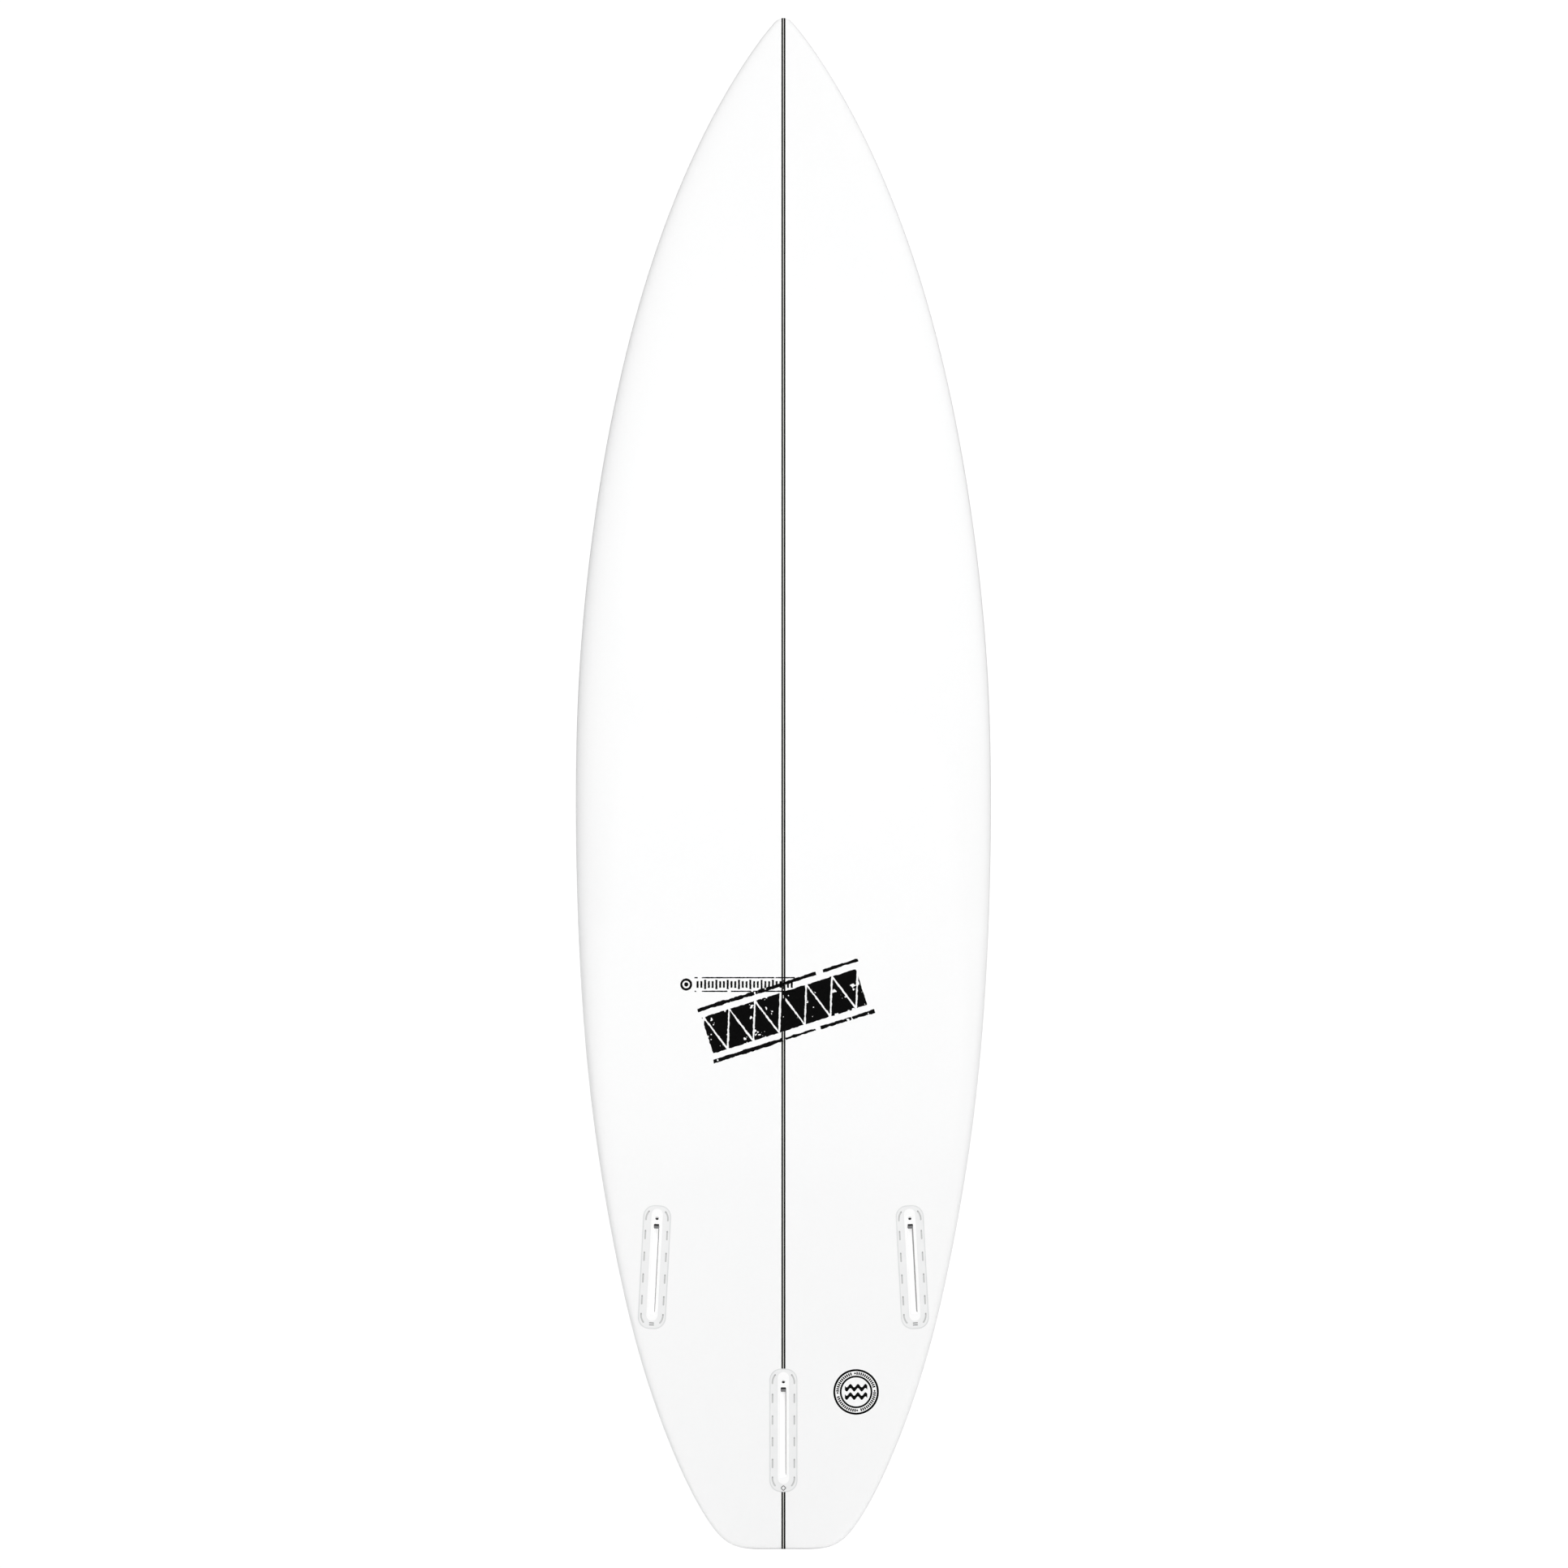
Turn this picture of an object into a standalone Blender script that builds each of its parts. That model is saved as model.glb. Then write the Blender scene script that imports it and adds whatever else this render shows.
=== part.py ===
"""Shortboard surfboard: a foam blank in two halves on a wooden stringer, glassed on both sides, with three
snap-in fin boxes, a leash plug, and printed tissues under the bottom glass.

The board stands on its tail. +Z runs from tail to nose, the bottom faces -Y, the deck faces +Y, and X is
across. The origin is the rearmost point of the tail, on the rail line. Left is -X and right is +X, as seen
by someone who looks at the bottom with the nose up. All sizes are in metres.
"""

import math

import bmesh
import bpy
import numpy as np
from mathutils import Matrix, Vector

# The board's outer shape
LENGTH = 1.829
TAIL_ROCKER = 0.060
NOSE_ROCKER = 0.124
ROCKER_LOW = 0.90  # distance of the bottom's flattest point from the tail
ROCKER_POWER = 2.2
CONCAVE = 0.003
# Half widths and their distances from the tail, from the tail's middle round to the nose tip
OUTLINE = (
    (0.0, 0.0),
    (0.0400, 0.0004),
    (0.0585, 0.0040),
    (0.0740, 0.0140),
    (0.0870, 0.0295),
    (0.1060, 0.0610),
    (0.1375, 0.1300),
    (0.1715, 0.2300),
    (0.2030, 0.3650),
    (0.2290, 0.5300),
    (0.2440, 0.7200),
    (0.2478, 0.8800),
    (0.2450, 1.0250),
    (0.2270, 1.2190),
    (0.1925, 1.4090),
    (0.1425, 1.5790),
    (0.0905, 1.6990),
    (0.0505, 1.7690),
    (0.0230, 1.8085),
    (0.0102, 1.8240),
    (0.0048, 1.8284),
    (0.0, LENGTH),
)
# Distances from the tail and the thickness there, on the centre line
THICKNESS = (
    (0.0, 0.014),
    (0.07, 0.0255),
    (0.305, 0.041),
    (0.61, 0.054),
    (0.93, 0.060),
    (1.22, 0.0555),
    (1.524, 0.037),
    (1.75, 0.018),
    (LENGTH, 0.0095),
)
# Distances from the tail, and the rail line's height there as a share of the thickness
RAIL_LINE = ((0.0, 0.22), (0.40, 0.24), (0.90, 0.34), (1.40, 0.38), (LENGTH, 0.45))
# Distances from the tail, and how square the bottom edge is there: a high power is a hard edge
EDGE_POWER = ((0.0, 60.0), (0.42, 60.0), (0.75, 14.0), (1.10, 9.0), (LENGTH, 5.0))
DECK_CROWN = 2.6
DECK_ROLL = 1.7
TAIL_FAN = 0.045  # where the centre line's cross lines start to fan out round the tail
NOSE_FAN = 0.012
RIM_STEPS = 34
BOTTOM_REACHES = (0.0, 0.36, 0.64, 0.84, 0.95, 0.985, 1.0)
DECK_REACHES = (0.0, 0.25, 0.47, 0.66, 0.81, 0.92, 0.98, 1.0)

# Layers
GAP = 0.0003
BOTTOM_GLASS = 0.0006
DECK_GLASS = 0.0009
TISSUE_DEPTH = 0.00078
TISSUE = 0.00014
FOAM_DEPTH = 0.0012
STRINGER = 0.0014
GLUE_LINE = 0.0012

# Fin boxes: along is measured from the flange's middle towards the nose
SIDE_BOX_ACROSS = 0.154
SIDE_BOX_UP = 0.3367
SIDE_BOX_TOE = math.radians(3.0)
CENTRE_BOX_UP = 0.1417
SEAT_SINK = 0.0002
SEAT_STEP = 0.005  # how far to each side the surface is measured to find its slope
FLANGE = (0.033, 0.148)
FLANGE_CORNER = 0.0135
FLANGE_TOP = 0.0019
FLANGE_THICK = 0.0022
BODY = (0.0135, 0.1346)
BODY_SHIFT = 0.0028
BODY_DEPTH = 0.018
SLOT = (0.0068, 0.1076)
SLOT_SHIFT = -0.0021
SLOT_DEPTH = 0.014
SLOT_CORNER = 0.0008
SCREW_ALONG = 0.0585
SCREW_RADIUS = 0.0020
SCREW_SLANT = math.radians(45)  # the hole leans back, so that its screw bears on the fin's front tab
SCREW_HOLE_DEPTH = 0.0125
HOLE_ACROSS = 0.0130
HOLE_PITCH = 0.0261
HOLE = (0.0017, 0.0111)
HOLE_SHIFT = -0.0007
HOLE_ARC_MIDDLE = (-0.0013, 0.0575)  # across and along, for the hole at the corner with both positive
HOLE_ARC_RADIUS = 0.0144
HOLE_ARC_TURNS = (math.radians(-6), math.radians(41))
CORNER_STEPS = 5
END_FLAT = 0.00001  # half of what stays flat at the body's round ends, so that no two points coincide
# The sprung cross bar at the front of each slot, with its roller
TRAVEL = 0.0012
ROLLER_RADIUS = 0.0022
ROLLER_LENGTH = 0.0060
ROLLER_DEPTH = 0.0036
BAR_RADIUS = 0.0010
BAR_LENGTH = 0.0112

# Leash plug
PLUG_UP = 0.050
CUP_RADIUS = 0.0134
CUP_BORE = 0.0106
CUP_DEPTH = 0.0152
CUP_FLOOR = 0.0024
CUP_CHAMFER = 0.0005
PIN_RADIUS = 0.0015
PIN_LENGTH = 0.0262
PIN_DEPTH = 0.0048
ROUND_STEPS = 32

# Printed tissues: across, up from the tail, and size
STAMP_CENTRE = (-0.0085, 0.645)
STAMP_SIZE = (0.250, 0.136)
BADGE_CENTRE = (0.0868, 0.1876)
BADGE_RADIUS = 0.029

OUTSIDE = 0.006  # how far a cutter stands out of the surface it cuts
CUT_DISTANCE = 1e-7  # a point this close to a cutting plane lies on it


def clear_scene():
    for old in list(bpy.data.objects):
        bpy.data.objects.remove(old)


def material(name, colour, roughness, metallic=0.0):
    made = bpy.data.materials.new(name)
    made.use_nodes = True
    shader = made.node_tree.nodes["Principled BSDF"]
    shader.inputs["Base Color"].default_value = (*colour, 1.0)
    shader.inputs["Roughness"].default_value = roughness
    shader.inputs["Metallic"].default_value = metallic
    return made


def add_object(name, mesh, matrix=None, finish=None):
    made = bpy.data.objects.new(name, mesh)
    bpy.context.scene.collection.objects.link(made)
    if matrix is not None:
        made.matrix_world = matrix
    if finish is not None:
        mesh.materials.append(finish)
    return made


def closed_mesh(name, points, faces):
    """A mesh of the given faces, all turned to face out."""
    mesh = bpy.data.meshes.new(name)
    mesh.from_pydata([tuple(p) for p in points], [], faces)
    work = bmesh.new()
    work.from_mesh(mesh)
    bmesh.ops.recalc_face_normals(work, faces=work.faces)
    work.to_mesh(mesh)
    work.free()
    return mesh


def as_cutter(made):
    made.hide_render = True
    made.display_type = "WIRE"
    return made


def cut(target, *cutters):
    for cutter in cutters:
        step = target.modifiers.new("cut_" + cutter.name, "BOOLEAN")
        step.operation = "DIFFERENCE"
        step.solver = "EXACT"
        step.object = cutter


def spline(knots, values):
    """The natural cubic spline through values at knots, as a function."""
    knots = np.array(knots, float)
    values = np.array(values, float)
    step = np.diff(knots)
    slope = np.diff(values) / step
    count = len(knots)
    system = np.eye(count)
    right = np.zeros(count)
    for i in range(1, count - 1):
        system[i, i - 1 : i + 2] = step[i - 1], 2 * (step[i - 1] + step[i]), step[i]
        right[i] = 6 * (slope[i] - slope[i - 1])
    bend = np.linalg.solve(system, right)

    def at(x):
        i = np.clip(np.searchsorted(knots, x) - 1, 0, count - 2)
        low = (knots[i + 1] - x) / step[i]
        high = (x - knots[i]) / step[i]
        curve = (low**3 - low) * bend[i] + (high**3 - high) * bend[i + 1]
        return low * values[i] + high * values[i + 1] + curve * step[i] ** 2 / 6

    return at


def outline_curve():
    """The half outline as a function from 0 at the tail's middle to 1 at the nose tip."""
    points = np.array(OUTLINE)
    along = np.concatenate([[0], np.cumsum(np.hypot(*np.diff(points, axis=0).T))])
    across = spline(along / along[-1], points[:, 0])
    up = spline(along / along[-1], points[:, 1])
    return lambda t: (max(float(across(t)), 0.0), max(float(up(t)), 0.0))


thickness_at = spline(*zip(*THICKNESS))
rail_line_at = spline(*zip(*RAIL_LINE))
rim_at = outline_curve()


def edge_power_at(up):
    return float(np.interp(up, *zip(*EDGE_POWER)))


def rocker_at(up):
    """How far the bottom's centre line is from the flattest point, towards the deck."""
    if up < ROCKER_LOW:
        return TAIL_ROCKER * ((ROCKER_LOW - up) / ROCKER_LOW) ** ROCKER_POWER
    return NOSE_ROCKER * ((up - ROCKER_LOW) / (LENGTH - ROCKER_LOW)) ** ROCKER_POWER


def rail_height_at(up):
    return float(thickness_at(up) * rail_line_at(up))


TAIL_SET = TAIL_ROCKER + rail_height_at(0.0)  # puts the tail's rail line at Y = 0


def bottom_y(up, reach):
    """The bottom surface. reach is 0 on the centre line and 1 on the rail line."""
    turn = 1 - math.sqrt(max(1 - reach ** edge_power_at(up), 0.0))
    hollow = CONCAVE * math.sin(math.pi * up / LENGTH) * reach**2
    return rocker_at(up) - TAIL_SET + rail_height_at(up) * turn - hollow


def deck_y(up, reach):
    rail = rail_height_at(up)
    crown = max(1 - reach**DECK_CROWN, 0.0) ** (1 / DECK_ROLL)
    hollow = CONCAVE * math.sin(math.pi * up / LENGTH) * reach**2
    return rocker_at(up) - TAIL_SET + rail + (float(thickness_at(up)) - rail) * crown - hollow


def fan(distance, size):
    """How far a cross line's inner end stays ahead of its outer end near a tip of the board."""
    return (math.sqrt(distance**2 + 4 * size**2) - distance) / 2


def inner_end(up):
    """Where the cross line that ends on the rail at a height leaves the centre line."""
    return up + fan(up, TAIL_FAN) - fan(LENGTH - up, NOSE_FAN)


def surface_point(rim, inner, reach, height_of, side):
    across, up = rim
    here = inner + (up - inner) * reach
    return side * across * reach, height_of(here, reach), here


HALF_WIDTHS, HEIGHTS = zip(*[rim_at(t) for t in np.linspace(0.02, 0.999, 1500)])


def half_width_at(up):
    return float(np.interp(up, HEIGHTS, HALF_WIDTHS))


def bottom_point(across, up):
    return Vector((across, bottom_y(up, abs(across) / half_width_at(up)), up))


class Skin:
    """The closed outer surface as triangles, with its vertex normals, so that layers are parallel to it."""

    def __init__(self):
        self.points = []
        self.index = {}
        self.faces = {"bottom": [], "deck": []}
        turns = [(1 - math.cos(math.pi * k / RIM_STEPS)) / 2 for k in range(RIM_STEPS + 1)]
        rims = [rim_at(t) for t in turns]
        rims[0] = (0.0, 0.0)
        rims[-1] = (0.0, LENGTH)
        inners = [inner_end(up) for _, up in rims]
        inners[0], inners[-1] = inners[1], inners[-2]
        self.lines = list(zip(rims, inners))
        edges = []
        for side in (1, -1):
            edges.append(self.add_side(BOTTOM_REACHES, bottom_y, side, "bottom"))
            self.add_side(DECK_REACHES, deck_y, side, "deck")
        self.rim = edges[0] + edges[1][-2:0:-1]
        self.normals = self.vertex_normals()

    def place(self, point):
        key = tuple(round(c * 1e6) for c in point)
        if key not in self.index:
            self.index[key] = len(self.points)
            self.points.append(point)
        return self.index[key]

    def add_side(self, reaches, height_of, side, name):
        grid = []
        for rim, inner in self.lines:
            grid.append([self.place(surface_point(rim, inner, a, height_of, side)) for a in reaches])
        outward = (side > 0) == (name == "bottom")
        for low, high in zip(grid, grid[1:]):
            for j in range(len(reaches) - 1):
                for corners in ((low[j], low[j + 1], high[j + 1]), (low[j], high[j + 1], high[j])):
                    if len(set(corners)) == 3:
                        self.faces[name].append(corners if outward else corners[::-1])
        return [row[-1] for row in grid]

    def vertex_normals(self):
        points = np.array(self.points)
        faces = np.array(self.faces["bottom"] + self.faces["deck"])
        a, b, c = (points[faces[:, k]] for k in range(3))
        normals = np.zeros_like(points)
        for k in range(3):
            np.add.at(normals, faces[:, k], np.cross(b - a, c - a))
        return normals / np.linalg.norm(normals, axis=1)[:, None]

    def sunk(self, bottom_depth, deck_depth):
        """The points moved in along their normals, by one depth under the bottom and one under the deck."""
        depth = np.full(len(self.points), (bottom_depth + deck_depth) / 2)
        inside = set(range(len(self.points))) - set(self.rim)
        for name, value in (("bottom", bottom_depth), ("deck", deck_depth)):
            own = inside & {i for face in self.faces[name] for i in face}
            depth[list(own)] = value
        return np.array(self.points) - self.normals * depth[:, None]


def laminate(skin, name, side, thick, finish):
    """A glass skin over one side of the board, ending on the rail line."""
    outer = np.array(skin.points)
    inner = skin.sunk(thick, thick)
    if side == "deck":
        for layer in (outer, inner):
            layer[skin.rim, 1] += GAP
    used = sorted({i for face in skin.faces[side] for i in face})
    new = {old: k for k, old in enumerate(used)}
    faces = [tuple(new[i] for i in face) for face in skin.faces[side]]
    count = len(used)
    faces += [tuple(i + count for i in face[::-1]) for face in faces]
    for a, b in zip(skin.rim, skin.rim[1:] + skin.rim[:1]):
        faces.append((new[a], new[b], new[b] + count))
        faces.append((new[a], new[b] + count, new[a] + count))
    points = np.concatenate([outer[used], inner[used]])
    return add_object(name, closed_mesh(name, points, faces), finish=finish)


def core_slab(skin, name, low, high, finish):
    """The part of the blank between two planes across X; an end that is None is left as it is."""
    work = bmesh.new()
    corners = [work.verts.new(p) for p in skin.sunk(FOAM_DEPTH, DECK_GLASS + GAP)]
    for face in skin.faces["bottom"] + skin.faces["deck"]:
        work.faces.new([corners[i] for i in face])
    for plane, beyond in ((low, -1), (high, 1)):
        if plane is None:
            continue
        everything = work.verts[:] + work.edges[:] + work.faces[:]
        bmesh.ops.bisect_plane(
            work,
            geom=everything,
            dist=CUT_DISTANCE,
            plane_co=(plane, 0, 0),
            plane_no=(beyond, 0, 0),
            clear_outer=True,
        )
        border = [edge for edge in work.edges if edge.is_boundary]
        bmesh.ops.holes_fill(work, edges=border, sides=0)
    bmesh.ops.recalc_face_normals(work, faces=work.faces)
    mesh = bpy.data.meshes.new(name)
    work.to_mesh(mesh)
    work.free()
    return add_object(name, mesh, finish=finish)


def frame_matrix(origin, forward, outward):
    """A frame with local Y forward and local Z out of the surface."""
    across = forward.cross(outward).normalized()
    forward = outward.cross(across).normalized()
    matrix = Matrix((across, forward, outward.normalized())).transposed().to_4x4()
    matrix.translation = origin
    return matrix


def box_seat(across, up, toe):
    """Where a fin box sits: its flange's middle, on the bottom surface, with its front turned in by toe."""
    here = bottom_point(across, up)
    forward = bottom_point(across, up + SEAT_STEP) - bottom_point(across, up - SEAT_STEP)
    sideways = bottom_point(across + SEAT_STEP, up) - bottom_point(across - SEAT_STEP, up)
    outward = sideways.cross(forward).normalized()
    turn = math.copysign(toe, across) if across else 0.0
    forward = Matrix.Rotation(turn, 3, outward) @ forward
    return frame_matrix(here - outward * SEAT_SINK, forward, outward)


def plug_seat():
    """Where the leash plug sits: the middle of its rim, on the deck, over the stringer."""
    forward = Vector((0, deck_y(PLUG_UP + SEAT_STEP, 0) - deck_y(PLUG_UP - SEAT_STEP, 0), 2 * SEAT_STEP))
    outward = forward.cross(Vector((1, 0, 0))).normalized()
    return frame_matrix(Vector((0, deck_y(PLUG_UP, 0), PLUG_UP)), forward, outward)


def rounded_outline(size, corner, shift=0.0, steps=CORNER_STEPS):
    """A rectangle with round corners, as points in order; size is across and along."""
    reach_x, reach_y = size[0] / 2 - corner, size[1] / 2 - corner
    points = []
    for quarter, (sx, sy) in enumerate(((1, 1), (-1, 1), (-1, -1), (1, -1))):
        for k in range(steps + 1):
            angle = math.pi / 2 * (quarter + k / steps)
            x = sx * reach_x + corner * math.cos(angle)
            y = sy * reach_y + corner * math.sin(angle) + shift
            points.append((x, y))
    return points


def lofted(name, rings):
    """A closed mesh through rings of equally many points, capped at both ends.

    Each ring is an (outline, height) pair.
    """
    count = len(rings[0][0])
    points = [(x, y, height) for outline, height in rings for x, y in outline]
    faces = [tuple(range(count)), tuple(range(len(points) - count, len(points)))]
    for ring in range(len(rings) - 1):
        for k in range(count):
            after = (k + 1) % count
            low, high = ring * count, (ring + 1) * count
            faces.append((low + k, low + after, high + after, high + k))
    return closed_mesh(name, points, faces)


def prism(name, outline, low, high):
    return lofted(name, [(outline, low), (outline, high)])


def circle(radius, steps=ROUND_STEPS, centre=(0.0, 0.0)):
    angles = [2 * math.pi * k / steps for k in range(steps)]
    return [(centre[0] + radius * math.cos(a), centre[1] + radius * math.sin(a)) for a in angles]


def grown(size, by):
    return size[0] + 2 * by, size[1] + 2 * by


def body_outline(by=0.0):
    size = grown(BODY, by)
    return rounded_outline(size, size[0] / 2 - END_FLAT, BODY_SHIFT)


def flange_outline(by=0.0):
    return rounded_outline(grown(FLANGE, by), FLANGE_CORNER + by)


def flange_holes(name):
    """The resin holes round the flange: straight ones along both sides and a curved one at each corner."""
    work = bmesh.new()
    low, high = -FLANGE_TOP - FLANGE_THICK - GAP, -FLANGE_TOP + GAP
    outlines = []
    for side in (-1, 1):
        for row in range(4):
            middle = (1.5 - row) * HOLE_PITCH + HOLE_SHIFT
            x0, x1 = side * HOLE_ACROSS - HOLE[0] / 2, side * HOLE_ACROSS + HOLE[0] / 2
            y0, y1 = middle - HOLE[1] / 2, middle + HOLE[1] / 2
            outlines.append([(x0, y0), (x1, y0), (x1, y1), (x0, y1)])
    angles = np.linspace(*HOLE_ARC_TURNS, 4)
    outer, inner = HOLE_ARC_RADIUS + HOLE[0] / 2, HOLE_ARC_RADIUS - HOLE[0] / 2
    arc = [(outer * math.cos(a), outer * math.sin(a)) for a in angles]
    arc += [(inner * math.cos(a), inner * math.sin(a)) for a in angles[::-1]]
    for sx, sy in ((1, 1), (-1, 1), (-1, -1), (1, -1)):
        outlines.append([(sx * (HOLE_ARC_MIDDLE[0] + x), sy * (HOLE_ARC_MIDDLE[1] + y)) for x, y in arc])
    for outline in outlines:
        part = prism(name, outline, low, high)
        work.from_mesh(part)
        bpy.data.meshes.remove(part)
    mesh = bpy.data.meshes.new(name)
    work.to_mesh(mesh)
    work.free()
    return mesh


def block(name, low, high):
    outline = [(low[0], low[1]), (high[0], low[1]), (high[0], high[1]), (low[0], high[1])]
    return prism(name, outline, low[2], high[2])


def roller_along():
    """Where the roller's axis rests, measured from the flange's middle towards the nose."""
    return SLOT_SHIFT + SLOT[1] / 2 - ROLLER_RADIUS - TRAVEL - GAP


def fin_box(name, seat, finish):
    """One fin box: a perforated flange under the glass round a slotted body that comes up through it."""
    body = body_outline()
    flange = flange_outline()
    under = -FLANGE_TOP - FLANGE_THICK
    rings = [(body, 0.0), (body, -FLANGE_TOP), (flange, -FLANGE_TOP), (flange, under), (body, under)]
    rings.append((body, -BODY_DEPTH))
    made = add_object(name, lofted(name, rings), seat, finish)
    slot = prism(name + "_slot", rounded_outline(SLOT, SLOT_CORNER, SLOT_SHIFT, 2), -SLOT_DEPTH, OUTSIDE)
    middle, half = roller_along(), BAR_RADIUS + GAP
    reach = BAR_LENGTH / 2 + GAP
    rest = block(
        name + "_bar_rest",
        (-reach, middle - half, -ROLLER_DEPTH - half),
        (reach, middle + half + TRAVEL, -ROLLER_DEPTH + half),
    )
    slant = Matrix.Translation((0, SCREW_ALONG, 0)) @ Matrix.Rotation(-SCREW_SLANT, 4, "X")
    hole = prism(name + "_screw_hole", circle(SCREW_RADIUS, 14), -SCREW_HOLE_DEPTH, OUTSIDE)
    cutters = [
        add_object(name + "_slot", slot, seat),
        add_object(name + "_bar_rest", rest, seat),
        add_object(name + "_screw_hole", hole, seat @ slant),
        add_object(name + "_resin_holes", flange_holes(name + "_resin_holes"), seat),
    ]
    cut(made, *[as_cutter(cutter) for cutter in cutters])
    return made


def box_pockets(name, seat):
    """The two cutters that make room for a fin box in the foam; the second also opens the glass."""
    under = -FLANGE_TOP - FLANGE_THICK - GAP
    wide = prism(name + "_flange_pocket", flange_outline(GAP), under, OUTSIDE)
    deep = prism(name + "_body_pocket", body_outline(GAP), -BODY_DEPTH - GAP, OUTSIDE)
    wide_cutter = as_cutter(add_object(wide.name, wide, seat))
    deep_cutter = as_cutter(add_object(deep.name, deep, seat))
    return wide_cutter, deep_cutter


def round_bar(name, radius, length, matrix, finish, bore=0.0, steps=16):
    """A bar or a tube along local X, with its origin at its middle."""
    half = length / 2
    rings = [(circle(radius, steps), -half), (circle(radius, steps), half)]
    if bore:
        inner = circle(bore, steps)
        points = [(x, y, z) for outline, z in rings + [(inner, -half), (inner, half)] for x, y in outline]
        faces = []
        for k in range(steps):
            n = (k + 1) % steps
            for a, b in ((0, 1), (1, 3), (3, 2), (2, 0)):
                faces.append((a * steps + k, a * steps + n, b * steps + n, b * steps + k))
        mesh = closed_mesh(name, points, faces)
    else:
        mesh = lofted(name, rings)
    mesh.transform(Matrix.Rotation(math.pi / 2, 4, "Y"))
    mesh.shade_smooth()
    mesh.set_sharp_from_angle(angle=math.radians(40))
    return add_object(name, mesh, matrix, finish)


def retainer(side, seat, bar_finish, roller_finish):
    """The cross bar and its roller, which spring forwards as the fin snaps in behind them."""
    place = seat @ Matrix.Translation((0, roller_along(), -ROLLER_DEPTH))
    round_bar("retainer_bar_" + side, BAR_RADIUS, BAR_LENGTH, place, bar_finish)
    bore = BAR_RADIUS + GAP
    round_bar("retainer_roller_" + side, ROLLER_RADIUS, ROLLER_LENGTH, place, roller_finish, bore)


def leash_plug(seat, cup_finish, pin_finish):
    """A cup let into the deck, with a pin across it for the leash string. Returns its pocket's cutter."""
    rings = [
        (circle(CUP_BORE), CUP_FLOOR - CUP_DEPTH),
        (circle(CUP_BORE), -CUP_CHAMFER),
        (circle(CUP_BORE + CUP_CHAMFER), 0.0),
        (circle(CUP_RADIUS), 0.0),
        (circle(CUP_RADIUS), -CUP_DEPTH),
    ]
    cup = add_object("leash_cup", lofted("leash_cup", rings), seat, cup_finish)
    pin_place = seat @ Matrix.Translation((0, 0, -PIN_DEPTH))
    hole = round_bar("leash_pin_hole", PIN_RADIUS + GAP, 3 * CUP_RADIUS, pin_place, None)
    cut(cup, as_cutter(hole))
    round_bar("leash_pin", PIN_RADIUS, PIN_LENGTH, pin_place, pin_finish)
    pocket = prism("cup_pocket", circle(CUP_RADIUS + GAP), -CUP_DEPTH - GAP, OUTSIDE)
    return as_cutter(add_object("cup_pocket", pocket, seat))


def tissue(name, flat_points, flat_faces, border, finish):
    """A thin printed sheet that follows the bottom surface, between the glass and the foam."""
    layers = []
    for depth in (TISSUE_DEPTH, TISSUE_DEPTH + TISSUE):
        layers += [bottom_point(x, z) + Vector((0, depth, 0)) for x, z in flat_points]
    count = len(flat_points)
    faces = list(flat_faces) + [tuple(i + count for i in face[::-1]) for face in flat_faces]
    for a, b in zip(border, border[1:] + border[:1]):
        faces.append((a, b, b + count))
        faces.append((a, b + count, a + count))
    return add_object(name, closed_mesh(name, layers, faces), finish=finish)


def stamp_tissue(finish):
    columns, rows = 8, 4
    points = []
    for row in range(rows + 1):
        for column in range(columns + 1):
            x = STAMP_CENTRE[0] + STAMP_SIZE[0] * (column / columns - 0.5)
            z = STAMP_CENTRE[1] + STAMP_SIZE[1] * (row / rows - 0.5)
            points.append((x, z))
    wide = columns + 1
    faces = []
    for row in range(rows):
        for column in range(columns):
            a = row * wide + column
            faces.append((a, a + 1, a + wide + 1))
            faces.append((a, a + wide + 1, a + wide))
    border = list(range(columns)) + [columns + wide * row for row in range(rows)]
    border += [wide * rows + column for column in range(columns, 0, -1)]
    border += [wide * row for row in range(rows, 0, -1)]
    return tissue("stamp_tissue", points, faces, border, finish)


def badge_tissue(finish):
    steps = 24
    points = circle(BADGE_RADIUS, steps, BADGE_CENTRE) + [BADGE_CENTRE]
    faces = [(k, (k + 1) % steps, steps) for k in range(steps)]
    return tissue("badge_tissue", points, faces, list(range(steps)), finish)


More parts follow.
